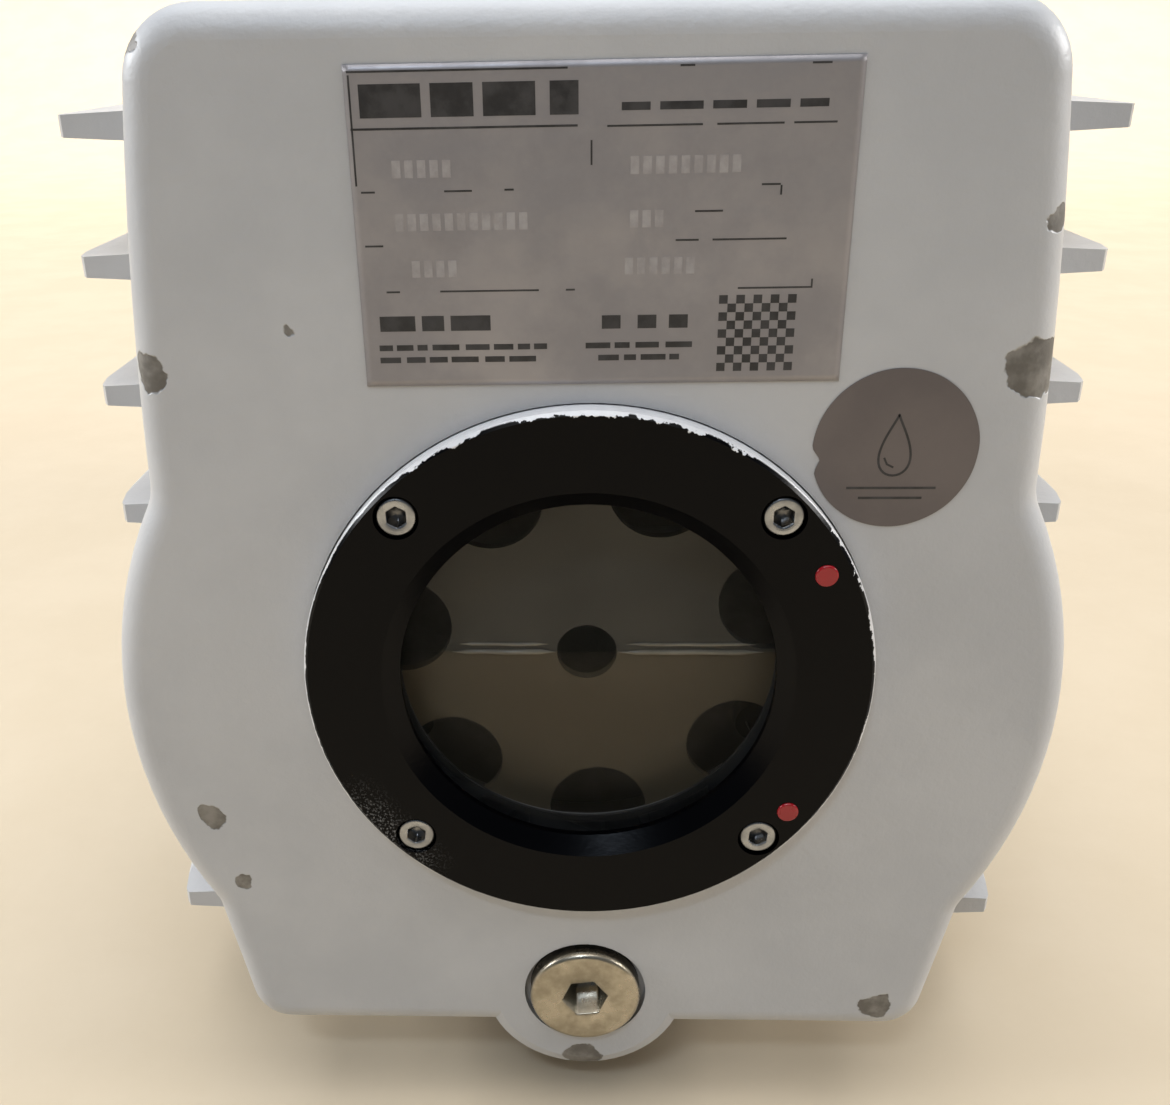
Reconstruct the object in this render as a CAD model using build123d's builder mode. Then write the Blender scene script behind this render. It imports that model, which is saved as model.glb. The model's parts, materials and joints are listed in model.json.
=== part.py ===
from build123d import *
import math
import os

os.makedirs("parts", exist_ok=True)

# Rotary vane vacuum pump, two stages, oil sealed, with its flange motor. Millimetres.
# +Z is up, -Y is the oil case's front face, +Y is the motor, and X = 0 is the plane of symmetry.
# Depths are counted along +Y from the oil case's front face.

# Heights
AXIS_Z = 138.0  # pump and motor shaft
WINDOW_Z = 150.0  # centre of the sight glass
CASE_TOP_Z = 307.0
CASE_BOTTOM_Z = 30.0
FOOT_Z = 20.0  # underside of the cast feet, on top of the rubber feet

# Depths of the main joints
CASE_LENGTH = 190.0
GASKET = 1.5
HOUSING_FRONT = CASE_LENGTH + GASKET
HOUSING_REAR = 266.0
LANTERN_REAR = 326.0
FRAME_FRONT = 338.0  # motor housing
FRAME_REAR = 538.0
COWL_REAR = 620.0

# Oil case
WALL = 7.0
FRONT_WALL = 8.0
CASE_EDGE_R = 7.5
BULGE_R = 123.5
BULGE_Z = WINDOW_Z - 12.4
FIN_PITCH = 33.6
FIN_COUNT = 8
FIN_TOP_Z = WINDOW_Z + 130.8
FIN_TIP_X = 133.0
FIN_FRONT_TIP_X = 129.6
FIN_FRONT = 39.0
FIN_FLARE = 20.0
FIN_REAR = 180.0
RIM = 3.0
RIM_LENGTH = 12.0
CASE_SCREW_PLACES = [
    (side * x, WINDOW_Z + z) for x, z in ((85, 138), (97, 45), (95, -68), (42, -109)) for side in (-1, 1)
]
TOP_X = 98.3
FLANK_X, FLANK_Z = 104.9, WINDOW_Z + 102.5
WAIST_Z = WINDOW_Z + 47.6
BULGE_END_Z = WINDOW_Z - 75.6
LOWER_X = 98.0

# Sight glass
RING_R = 72.0
RING_PROUD = 5.6
RING_SEAT = 4.0
RING_GAP = 0.4
GLASS_R = 57.0
GLASS_FRONT = 1.0
GLASS_THICK = 8.0
SEAL_THICK = 1.0
WINDOW_R = 52.0
WINDOW_BOSS_R = 82.0
BAFFLE_FRONT = 14.0
BAFFLE_THICK = 3.0
BAFFLE_R = 66.0
BAFFLE_HOLE_R = 13.5
BAFFLE_HOLES_AT = 50.0
BAFFLE_HOLE_COUNT = 7
BAFFLE_FIRST_HOLE = -86.0
BAFFLE_CENTRE_R = 8.0
RING_SCREW_OFFSET = 130 / 2 / math.sqrt(2)
MARK_PLACES = [(57.2, WINDOW_Z + 31.1), (53.1, WINDOW_Z - 37.3)]
MARK_R = 2.8
MARK_PROUD = 0.6

# Fasteners: head radius, head height and shank radius of socket cap screws
M6 = (5.0, 6.0, 3.0)
M8 = (6.5, 8.0, 4.0)
CLEAR_M8 = 4.5

# Drain plug and fill plug
DRAIN_Z = WINDOW_Z - 105.3
DRAIN_BOSS_R = 30.2
DRAIN_BOSS_LENGTH = 30.0
DRAIN_RECESS_R = 17.7
DRAIN_RECESS = 3.0
DRAIN_HEAD_R = 16.0
DRAIN_THREAD_R = 13.0
HEX_SOCKET = 12.0  # across flats
FILL_DEPTH = 110.0
FILL_BOSS_TOP = CASE_TOP_Z + 4
FILL_BOSS_R = 21.0
FILL_THREAD_R = 13.0
FILL_HEAD_R = 19.0
PLUG_SEAL_THICK = 1.0

# Plates on the case's face
PLATE_CENTRE = (2.4, WINDOW_Z + 111.0)
PLATE_SIZE = (108.0, 68.0)
PLATE_TILT = 0.5
PLATE_THICK = 0.6
STICKER_CENTRE = (71.4, WINDOW_Z + 61.0)
STICKER_R = 19.3
STICKER_THICK = 0.3

# Pump module: two vane stages on one rotor
STATOR_R = 75.0
BORE_R = 50.15
ECCENTRICITY = 10.0
ROTOR_R = 40.0
JOURNAL_R = 20.0
FRONT_JOURNAL_R = 18.0
RUNNING_FIT = 0.05
FACE_GAP = 0.1
STAGE_ONE = (HOUSING_FRONT - 60, HOUSING_FRONT)
PARTITION = (STAGE_ONE[0] - 12, STAGE_ONE[0])
STAGE_TWO = (PARTITION[0] - 30, PARTITION[0])
END_PLATE = (STAGE_TWO[0] - 20, STAGE_TWO[0])
OIL_PUMP = (END_PLATE[0] - 12, END_PLATE[0])
OIL_COVER = (OIL_PUMP[0] - 10, OIL_PUMP[0])
STAGES = {"stage_one": STAGE_ONE, "stage_two": STAGE_TWO}
FRONT_BUSH_R = 22.0
REAR_BUSH_R = 26.0
BUSH_REAR = 228.0
SEAL_JOURNAL_R = 17.0
SEAL_SPAN = (248.0, 258.0)
SHAFT_R = 12.0
SHAFT_END = 288.0
SLOT_WIDTH = 6.0
SLOT_BOTTOM_R = 14.0
VANE_INNER_R = 15.0
VANE_OUTER_R = 39.4
VANE_PLAY = 0.05
TIE_R = 67.0
TIE_ANGLES = (35, 150, 215, 325)
TIE_SCREW_R = 4.0
VALVE_X = 16.0
VALVE_FLAT = 70.0
VALVE_DISC_R = 8.5
VALVE_DISC_THICK = 1.5
VALVE_TRAVEL = 2.0
VALVE_Z = AXIS_Z + VALVE_FLAT
CAGE_R = 12.0
CAGE_HEIGHT = 7.0
SPRING_R = 2.2
SPRING_WIRE_R = 0.4
SPRING_TURNS = 9
SPRING_LENGTH = 2 * VANE_INNER_R - 1.2
SPRING_HOLE_R = 3.0

# Oil pump gears
TEETH = 16
MODULE = 2.0
PITCH_R = TEETH * MODULE / 2
GEAR_TIP_R = 17.5
GEAR_ROOT_R = 13.7
GEAR_CENTRES = 2 * PITCH_R
PRESSURE_ANGLE = math.radians(20)
BACKLASH = 0.3
GEAR_SHAFT_R = 10.0
IDLER_SHAFT_R = 5.0
OIL_PUMP_WIDTH = 52.0

# Ports
PORT_X = 44.0
PORT_DEPTH = 242.0
PORT_BORE_R = 20.5
PORT_TUBE_R = 23.0
PORT_FLANGE_R = 27.5
PORT_BASE_R = 33.0
PORT_BASE_Z = 290.0
PORT_TOP_Z = 334.0
PORT_SCREW_R = 28.0
PORT_FOOT = 9.0  # thickness of a port's square seat
DUCT_R = 21.5
DUCT_BOTTOM_Z = 250.0
INTAKE_VALVE_Z = DUCT_BOTTOM_Z + 1
INTAKE_VALVE_R = 17.0
EXHAUST_DUCT_Z = 262.0
FILTER_R = 26.0
FILTER_BORE_R = 15.0
FILTER_FRONT = 59.0
FILTER_PLEATS = 24
BLOCK_X = 78.0
BODY_R = 98.0
FLANGE_REAR = HOUSING_FRONT + 16
BLOCK_REAR = 276.0
KNOB_DEPTH = 236.0
KNOB_Z = 214.0
KNOB_R = 15.0
KNOB_STEM_R = 5.0
EYE_DEPTH = 203.0
EYE_SEAT_Z = 312.0
EYE_R = 16.5
EYE_WIRE_R = 4.5

# Coupling and motor
HUB_R = 30.0
JAW_FRONT = 290.0
JAW_REAR = 302.0
LANTERN_SCREW_R = 88.0
LANTERN_TUBE_R = 80.0
LANTERN_BORE_R = 70.0
LANTERN_FLANGE = 12.0
LANTERN_WINDOW = (HOUSING_REAR + 16, LANTERN_REAR - 16)
LANTERN_WINDOW_HALF = 20.0
FRAME_R = 86.0
FRAME_BORE_R = 80.0
FRAME_FIN_R = 96.0
MOTOR_FIN_COUNT = 36
BEARING_R = 26.0
BEARING_BORE_R = 12.5
BEARING_WIDTH = 15.0
BEARING_FRONT = 334.0
BEARING_REAR = 529.0
COWL_R = 99.0
COWL_WALL = 1.8
COWL_INNER_R = COWL_R - COWL_WALL
COWL_FRONT = 539.0
COWL_SCREW_DEPTH = 544.0
COWL_SCREW_ANGLES = (45, 135, 225, 315)
COWL_HOLE_R = 4.6
COWL_HOLE_RINGS = ((18, 8), (32, 14), (46, 20), (60, 26))  # ring radius, number of holes
MOTOR_SHAFT_R = 17.0
CORE_SPAN = (375.0, 505.0)
CORE_BORE_R = 52.0
AIR_GAP = 0.6
WINDING_R = (55.0, 76.0)
WINDING_LENGTH = 20.0
FAN = (560.0, 588.0)
FAN_SHAFT_R = 11.0
FAN_R = 85.0
FAN_BLADE_COUNT = 9

# Terminal box
BOX_X = 46.0
BOX_SPAN = (380.0, 480.0)
BOX_FLOOR_Z = 236.0
BOX_TOP_Z = 280.0
BOX_WALL = 4.0
LID_THICK = 8.0
WIRE_HOLE_R = 12.0
GLAND_DEPTH = 430.0
GLAND_Z = 258.0
GLAND_THREAD_R = 10.0
GLAND_BORE_R = 5.5
GLAND_END = 24.0

# Feet
FOOT_THICK = 12.0
FOOT_PAD_X = (60.0, 112.0)
FOOT_WEB_X = (56.0, 80.0)
FRONT_FOOT = (208.0, 260.0)
REAR_FOOT = (424.0, 476.0)
WEB_INSET = 4.0
FOOT_RUBBER_R = 21.0
STUD_R = 4.4
FOOT_X = 88.0
FEET = [(s * FOOT_X, depth) for depth in (234, 450) for s in (-1, 1)]

FRONT_MOST = RING_PROUD + MARK_PROUD
FACE_Y = -(COWL_REAR - FRONT_MOST) / 2


def at_depth(depth, x=0.0, z=0.0):
    """Upright plane that faces the front: its local x and y are X and Z."""
    return Plane(origin=(x, FACE_Y + depth, z), x_dir=(1, 0, 0), z_dir=(0, -1, 0))


def on_axis(depth):
    """The same plane, centred on the shaft."""
    return at_depth(depth, z=AXIS_Z)


def at_height(z, x=0.0, depth=0.0):
    """Level plane: its local x and y are X and the depth counted from the given point."""
    return Plane(origin=(x, FACE_Y + depth, z), x_dir=(1, 0, 0), z_dir=(0, 0, 1))


def polar(radius, degrees):
    return (radius * math.cos(math.radians(degrees)), radius * math.sin(math.radians(degrees)))


def turn(points, x=0.0, z=AXIS_Z, mode=Mode.ADD):
    """Turns a (radius, depth) outline about the line along Y through (x, z)."""
    with BuildSketch(at_height(z, x)) as section:
        with BuildLine():
            Polyline(*points, close=True)
        make_face()
    revolve(section.sketch, axis=Axis((x, 0, z), (0, 1, 0)), mode=mode)


def disc(radius, front, rear, places=((0.0, AXIS_Z),), mode=Mode.ADD):
    """Round bars along Y between two depths, centred on (x, z) places."""
    with BuildSketch(at_depth(rear)) as section:
        with Locations(*places):
            Circle(radius)
    extrude(section.sketch, amount=rear - front, mode=mode)


def post(radius, bottom, top, places, mode=Mode.ADD):
    """Upright round bars between two heights, centred on (x, depth) places."""
    with BuildSketch(at_height(bottom)) as section:
        with Locations(*places):
            Circle(radius)
    extrude(section.sketch, amount=top - bottom, mode=mode)


def block(x_span, depth_span, z_span, mode=Mode.ADD):
    """A box between two values on each axis."""
    size = [high - low for low, high in (x_span, depth_span, z_span)]
    middle = (sum(x_span) / 2, FACE_Y + sum(depth_span) / 2, sum(z_span) / 2)
    with Locations(middle):
        Box(*size, mode=mode)


def across_x(x, depth, z):
    """Upright plane that faces +X, centred on the given point."""
    return Plane(origin=(x, FACE_Y + depth, z), x_dir=(0, 1, 0), z_dir=(1, 0, 0))


def cap_screws(places, seat, size, shank, facing=1):
    """Socket cap screws along Y with their heads on the seat; facing 1 is to the front, -1 to the rear."""
    head_r, head, shank_r = size
    with BuildSketch(at_depth(seat)) as heads:
        with Locations(*places):
            Circle(head_r)
    extrude(heads.sketch, amount=facing * head)
    with BuildSketch(at_depth(seat)) as shanks:
        with Locations(*places):
            Circle(shank_r)
    extrude(shanks.sketch, amount=-facing * shank)
    with BuildSketch(at_depth(seat - facing * head)) as sockets:
        with Locations(*places):
            RegularPolygon(0.53 * head_r, 6)
    extrude(sockets.sketch, amount=-facing * head * 0.55, mode=Mode.SUBTRACT)


def upright_screws(places, seat, size, shank):
    """Socket cap screws that point down, with their heads on a level seat."""
    head_r, head, shank_r = size
    post(head_r, seat, seat + head, places)
    post(shank_r, seat - shank, seat, places)
    with BuildSketch(at_height(seat + head)) as sockets:
        with Locations(*places):
            RegularPolygon(0.53 * head_r, 6)
    extrude(sockets.sketch, amount=-head * 0.55, mode=Mode.SUBTRACT)


def cast_feet(span, web_top):
    """Two cast feet, each a level pad with a web that rises to the body."""
    web_span = (span[0] + WEB_INSET, span[1] - WEB_INSET)
    for side in (-1, 1):
        pad_x, web_x = (sorted(side * x for x in limits) for limits in (FOOT_PAD_X, FOOT_WEB_X))
        block(pad_x, span, (FOOT_Z, FOOT_Z + FOOT_THICK))
        block(web_x, web_span, (FOOT_Z + FOOT_THICK, web_top))


tie_places = [(x, AXIS_Z + z) for x, z in (polar(TIE_R, angle) for angle in TIE_ANGLES)]
ring_screw_places = [
    (sx * RING_SCREW_OFFSET, WINDOW_Z + sz * RING_SCREW_OFFSET) for sx in (-1, 1) for sz in (-1, 1)
]
lantern_places = [(x, AXIS_Z + z) for x, z in (polar(LANTERN_SCREW_R, a) for a in (40, 140, 220, 320))]
port_screws_at = [
    (side * PORT_X + x, PORT_DEPTH + y)
    for side in (-1, 1)
    for x, y in (polar(PORT_SCREW_R, angle) for angle in (45, 135, 225, 315))
]

# The case's outline, seen from the front: straight top and bottom, slightly bowed flanks, a round bulge
# about the pump module, and tapering lower flanks.
def bulge_x(z):
    return math.sqrt(BULGE_R**2 - (z - BULGE_Z) ** 2)


waist = (bulge_x(WAIST_Z), WAIST_Z)
bulge_end = (bulge_x(BULGE_END_Z), BULGE_END_Z)

with BuildSketch() as case_outline:
    with BuildLine():
        top = Line((0, CASE_TOP_Z), (TOP_X, CASE_TOP_Z))
        flank = ThreePointArc(top @ 1, (FLANK_X, FLANK_Z), waist)
        bulge = ThreePointArc(flank @ 1, (BULGE_R, BULGE_Z), bulge_end)
        lower = Line(bulge @ 1, (LOWER_X, CASE_BOTTOM_Z))
        Line(lower @ 1, (0, CASE_BOTTOM_Z))
        mirror(about=Plane.YZ)
    make_face()
    fillet(case_outline.vertices().group_by(Axis.Y)[-1], radius=17)
    fillet(case_outline.vertices().group_by(Axis.Y)[0], radius=12)
    fillet([v for v in case_outline.vertices() if abs(v.Y - waist[1]) < 0.01], radius=14)
    fillet([v for v in case_outline.vertices() if abs(v.Y - bulge_end[1]) < 0.01], radius=8)

with BuildSketch() as case_cavity:
    add(case_outline.sketch)
    offset(amount=-WALL)

with BuildSketch() as case_rim:
    add(case_outline.sketch)
    offset(amount=RIM)

# ---------------------------------------------------------------- oil case
with BuildPart() as oil_case:
    with BuildSketch(at_depth(CASE_LENGTH)):
        add(case_outline.sketch)
    extrude(amount=CASE_LENGTH)
    fillet(oil_case.faces().sort_by(Axis.Y)[0].outer_wire().edges(), radius=CASE_EDGE_R)
    with BuildSketch(at_depth(CASE_LENGTH)):
        add(case_rim.sketch)
    extrude(amount=RIM_LENGTH)
    # cooling fins, tapered towards the tip and flared towards the rear
    with BuildSketch(at_depth(FIN_REAR)):
        for index in range(FIN_COUNT):
            fin_z = FIN_TOP_Z - index * FIN_PITCH
            for side in (-1, 1):
                with BuildLine():
                    Polyline(
                        (side * 80, fin_z - 5.0),
                        (side * (FIN_TIP_X - 2), fin_z - 2.5),
                        (side * FIN_TIP_X, fin_z - 1.0),
                        (side * FIN_TIP_X, fin_z + 1.0),
                        (side * (FIN_TIP_X - 2), fin_z + 2.5),
                        (side * 80, fin_z + 5.0),
                        close=True,
                    )
                make_face()
    extrude(amount=FIN_REAR - FIN_FRONT)
    with BuildSketch(at_height(CASE_BOTTOM_Z)):
        for side in (-1, 1):
            with BuildLine():
                Polyline(
                    (side * (FIN_FRONT_TIP_X - 2), FIN_FRONT - 1),
                    (side * FIN_FRONT_TIP_X, FIN_FRONT + 2),
                    (side * FIN_TIP_X, FIN_FRONT + FIN_FLARE),
                    (side * (FIN_TIP_X + 2), FIN_FRONT - 1),
                    close=True,
                )
            make_face()
    extrude(amount=CASE_TOP_Z - CASE_BOTTOM_Z, mode=Mode.SUBTRACT)
    with BuildSketch(at_depth(CASE_LENGTH)):
        add(case_cavity.sketch)
    extrude(amount=CASE_LENGTH - FRONT_WALL, mode=Mode.SUBTRACT)
    # thick seat for the sight glass, drain boss, fill boss and screw lugs
    disc(WINDOW_BOSS_R, FRONT_WALL, BAFFLE_FRONT, [(0, WINDOW_Z)])
    turn(
        [(0, 0), (DRAIN_BOSS_R - 4.2, 0), (DRAIN_BOSS_R - 1.2, 1.2), (DRAIN_BOSS_R, 4.2),
         (DRAIN_BOSS_R, DRAIN_BOSS_LENGTH), (0, DRAIN_BOSS_LENGTH)],
        z=DRAIN_Z,
    )
    post(FILL_BOSS_R, CASE_TOP_Z - WALL, FILL_BOSS_TOP, [(0, FILL_DEPTH)])
    with BuildSketch(at_depth(CASE_LENGTH)) as lugs:
        with Locations(*CASE_SCREW_PLACES):
            Circle(9)
        add(case_outline.sketch, mode=Mode.INTERSECT)
    extrude(lugs.sketch, amount=40)
    disc(RING_R + RING_GAP, 0, RING_SEAT, [(0, WINDOW_Z)], Mode.SUBTRACT)
    disc(GLASS_R + 1, RING_SEAT, GLASS_FRONT + GLASS_THICK + SEAL_THICK, [(0, WINDOW_Z)], Mode.SUBTRACT)
    disc(WINDOW_R, 0, BAFFLE_FRONT, [(0, WINDOW_Z)], Mode.SUBTRACT)
    disc(3.05, RING_SEAT, BAFFLE_FRONT - 0.5, ring_screw_places, Mode.SUBTRACT)
    disc(DRAIN_RECESS_R, 0, DRAIN_RECESS, [(0, DRAIN_Z)], Mode.SUBTRACT)
    disc(DRAIN_THREAD_R + 0.05, 0, DRAIN_BOSS_LENGTH, [(0, DRAIN_Z)], Mode.SUBTRACT)
    post(FILL_THREAD_R + 0.05, CASE_TOP_Z - 2 * WALL, FILL_BOSS_TOP, [(0, FILL_DEPTH)], Mode.SUBTRACT)
    disc(4.05, CASE_LENGTH - 26, CASE_LENGTH, CASE_SCREW_PLACES, Mode.SUBTRACT)
oil_case.part.label = "oil_case"
export_step(oil_case.part, "parts/oil_case.step")

with BuildPart() as case_gasket:
    with BuildSketch(at_depth(HOUSING_FRONT)):
        add(case_rim.sketch)
        offset(amount=-1.0)
        add(case_cavity.sketch, mode=Mode.SUBTRACT)
    extrude(amount=GASKET)
    disc(CLEAR_M8, CASE_LENGTH, HOUSING_FRONT, CASE_SCREW_PLACES, Mode.SUBTRACT)
case_gasket.part.label = "case_gasket"
export_step(case_gasket.part, "parts/case_gasket.step")

with BuildPart() as case_screws:
    cap_screws(CASE_SCREW_PLACES, FLANGE_REAR, M8, 40, facing=-1)
case_screws.part.label = "case_screws"
export_step(case_screws.part, "parts/case_screws.step")

# ---------------------------------------------------------------- sight glass
with BuildPart() as sight_glass_ring:
    turn(
        [(52.3, -RING_PROUD), (RING_R - 1.0, -RING_PROUD), (RING_R, 1.0 - RING_PROUD), (RING_R, RING_SEAT),
         (GLASS_R + 0.6, RING_SEAT), (GLASS_R + 0.6, 0), (48.0, 0), (48.0, -1.8)],
        z=WINDOW_Z,
    )
    disc(3.3, -RING_PROUD, RING_SEAT, ring_screw_places, Mode.SUBTRACT)
    disc(5.5, -RING_PROUD, 0.9, ring_screw_places, Mode.SUBTRACT)
    disc(MARK_R + 0.05, -RING_PROUD, -RING_PROUD + 0.6, MARK_PLACES, Mode.SUBTRACT)
sight_glass_ring.part.label = "sight_glass_ring"
export_step(sight_glass_ring.part, "parts/sight_glass_ring.step")

with BuildPart() as sight_glass:
    disc(GLASS_R, GLASS_FRONT, GLASS_FRONT + GLASS_THICK, [(0, WINDOW_Z)])
    chamfer(sight_glass.edges().filter_by(GeomType.CIRCLE), length=0.8)
sight_glass.part.label = "sight_glass"
export_step(sight_glass.part, "parts/sight_glass.step")

with BuildPart() as glass_seals:
    for seal_front in (0.0, GLASS_FRONT + GLASS_THICK):
        turn(
            [(WINDOW_R - 2.5, seal_front), (GLASS_R, seal_front), (GLASS_R, seal_front + SEAL_THICK),
             (WINDOW_R - 2.5, seal_front + SEAL_THICK)],
            z=WINDOW_Z,
        )
glass_seals.part.label = "glass_seals"
export_step(glass_seals.part, "parts/glass_seals.step")

with BuildPart() as ring_screws:
    cap_screws(ring_screw_places, 0.9, M6, 12)
    fronts = ring_screws.faces().group_by(Axis.Y)[0]
    chamfer([face.outer_wire().edges()[0] for face in fronts], length=0.6)
ring_screws.part.label = "ring_screws"
export_step(ring_screws.part, "parts/ring_screws.step")

with BuildPart() as level_marks:
    disc(MARK_R, -RING_PROUD - MARK_PROUD, -RING_PROUD + 0.6, MARK_PLACES)
    fillet(level_marks.faces().group_by(Axis.Y)[0].edges(), radius=MARK_PROUD * 0.9)
level_marks.part.label = "level_marks"
export_step(level_marks.part, "parts/level_marks.step")

baffle_span = (BAFFLE_FRONT, BAFFLE_FRONT + BAFFLE_THICK)
baffle_angles = [BAFFLE_FIRST_HOLE + n * 360 / BAFFLE_HOLE_COUNT for n in range(BAFFLE_HOLE_COUNT)]
baffle_holes = [(x, WINDOW_Z + z) for x, z in (polar(BAFFLE_HOLES_AT, angle) for angle in baffle_angles)]
with BuildPart() as baffle_disc:
    disc(BAFFLE_R, *baffle_span, [(0, WINDOW_Z)])
    disc(BAFFLE_HOLE_R, *baffle_span, baffle_holes, Mode.SUBTRACT)
    disc(BAFFLE_CENTRE_R, *baffle_span, [(0, WINDOW_Z)], Mode.SUBTRACT)
baffle_disc.part.label = "baffle_disc"
export_step(baffle_disc.part, "parts/baffle_disc.step")

# ---------------------------------------------------------------- plugs and plates on the case
with BuildPart() as drain_plug:
    disc(DRAIN_HEAD_R, -3, 2, [(0, DRAIN_Z)])
    chamfer(drain_plug.faces().sort_by(Axis.Y)[0].edges(), length=1.4)
    disc(DRAIN_THREAD_R, 2, 18, [(0, DRAIN_Z)])
    with BuildSketch(at_depth(-3, z=DRAIN_Z)):
        RegularPolygon(HEX_SOCKET / math.sqrt(3), 6, rotation=8)
    extrude(amount=-10, mode=Mode.SUBTRACT)
drain_plug.part.label = "drain_plug"
export_step(drain_plug.part, "parts/drain_plug.step")

with BuildPart() as fill_plug:
    post(FILL_THREAD_R, CASE_TOP_Z - 8, FILL_BOSS_TOP + 1, [(0, FILL_DEPTH)])
    with BuildSketch(at_height(FILL_BOSS_TOP + 1, depth=FILL_DEPTH)):
        Circle(FILL_HEAD_R)
        with PolarLocations(FILL_HEAD_R + 0.6, 12):
            Circle(2.2, mode=Mode.SUBTRACT)
    extrude(amount=11)
    fillet(fill_plug.faces().sort_by(Axis.Z)[-1].outer_wire().edges(), radius=1.2)
    with BuildSketch(at_height(FILL_BOSS_TOP + 12, depth=FILL_DEPTH)):
        Circle(13)
        RegularPolygon(7, 6, mode=Mode.SUBTRACT)
    extrude(amount=-3, mode=Mode.SUBTRACT)
fill_plug.part.label = "fill_plug"
export_step(fill_plug.part, "parts/fill_plug.step")

with BuildPart() as plug_seals:
    disc(DRAIN_HEAD_R, DRAIN_RECESS - PLUG_SEAL_THICK, DRAIN_RECESS, [(0, DRAIN_Z)])
    disc(DRAIN_THREAD_R + 0.1, DRAIN_RECESS - PLUG_SEAL_THICK, DRAIN_RECESS, [(0, DRAIN_Z)], Mode.SUBTRACT)
    fill_seal = (FILL_BOSS_TOP, FILL_BOSS_TOP + PLUG_SEAL_THICK)
    post(FILL_HEAD_R - 1.5, *fill_seal, [(0, FILL_DEPTH)])
    post(FILL_THREAD_R + 0.1, *fill_seal, [(0, FILL_DEPTH)], Mode.SUBTRACT)
plug_seals.part.label = "plug_seals"
export_step(plug_seals.part, "parts/plug_seals.step")

with BuildPart() as nameplate:
    with BuildSketch(at_depth(0, *PLATE_CENTRE)):
        RectangleRounded(*PLATE_SIZE, 0.8, rotation=PLATE_TILT)
    extrude(amount=PLATE_THICK)
nameplate.part.label = "nameplate"
export_step(nameplate.part, "parts/nameplate.step")

with BuildPart() as round_sticker:
    disc(STICKER_R, -STICKER_THICK, 0, [STICKER_CENTRE])
round_sticker.part.label = "round_sticker"
export_step(round_sticker.part, "parts/round_sticker.step")

# ---------------------------------------------------------------- pump module
valve_depths = {name: (front + rear) / 2 for name, (front, rear) in STAGES.items()}

for name, (front, rear) in STAGES.items():
    with BuildPart() as stator_ring:
        disc(STATOR_R, front, rear)
        block((-4, 40), (front, rear), (VALVE_Z, VALVE_Z + 10), Mode.SUBTRACT)
        disc(BORE_R, front, rear, [(0, AXIS_Z - ECCENTRICITY)], Mode.SUBTRACT)
        disc(TIE_SCREW_R + 0.1, front, rear, tie_places, Mode.SUBTRACT)
        post(4.5, AXIS_Z, VALVE_Z, [(VALVE_X, valve_depths[name])], Mode.SUBTRACT)
        # inlet pocket on the rear face, from the port to the bore
        with BuildSketch(on_axis(rear)):
            with Locations((-33, 43)):
                SlotCenterToCenter(22, 14, rotation=-52)
        extrude(amount=8, mode=Mode.SUBTRACT)
    stator_ring.part.label = f"{name}_ring"
    export_step(stator_ring.part, f"parts/{name}_ring.step")

with BuildPart() as partition_plate:
    disc(STATOR_R, *PARTITION)
    disc(JOURNAL_R + RUNNING_FIT, *PARTITION, mode=Mode.SUBTRACT)
    disc(TIE_SCREW_R + 0.1, *PARTITION, tie_places, Mode.SUBTRACT)
    disc(5, *PARTITION, [(-38, AXIS_Z + 49)], Mode.SUBTRACT)
partition_plate.part.label = "partition_plate"
export_step(partition_plate.part, "parts/partition_plate.step")

with BuildPart() as front_end_plate:
    disc(STATOR_R, *END_PLATE)
    disc(FRONT_BUSH_R, *END_PLATE, mode=Mode.SUBTRACT)
    disc(TIE_SCREW_R + 0.1, *END_PLATE, tie_places, Mode.SUBTRACT)
    idler_hole = (IDLER_SHAFT_R + RUNNING_FIT, END_PLATE[0], END_PLATE[0] + 10)
    disc(*idler_hole, [(GEAR_CENTRES, AXIS_Z)], Mode.SUBTRACT)
front_end_plate.part.label = "front_end_plate"
export_step(front_end_plate.part, "parts/front_end_plate.step")

with BuildPart() as tie_screws:
    cap_screws(tie_places, END_PLATE[0], M8, HOUSING_FRONT + 18 - END_PLATE[0])
tie_screws.part.label = "tie_screws"
export_step(tie_screws.part, "parts/tie_screws.step")

with BuildPart() as bearing_bushes:
    disc(FRONT_BUSH_R, *END_PLATE)
    disc(FRONT_JOURNAL_R + RUNNING_FIT, *END_PLATE, mode=Mode.SUBTRACT)
    disc(REAR_BUSH_R, HOUSING_FRONT, BUSH_REAR)
    disc(JOURNAL_R + RUNNING_FIT, HOUSING_FRONT, BUSH_REAR, mode=Mode.SUBTRACT)
bearing_bushes.part.label = "bearing_bushes"
export_step(bearing_bushes.part, "parts/bearing_bushes.step")

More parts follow.
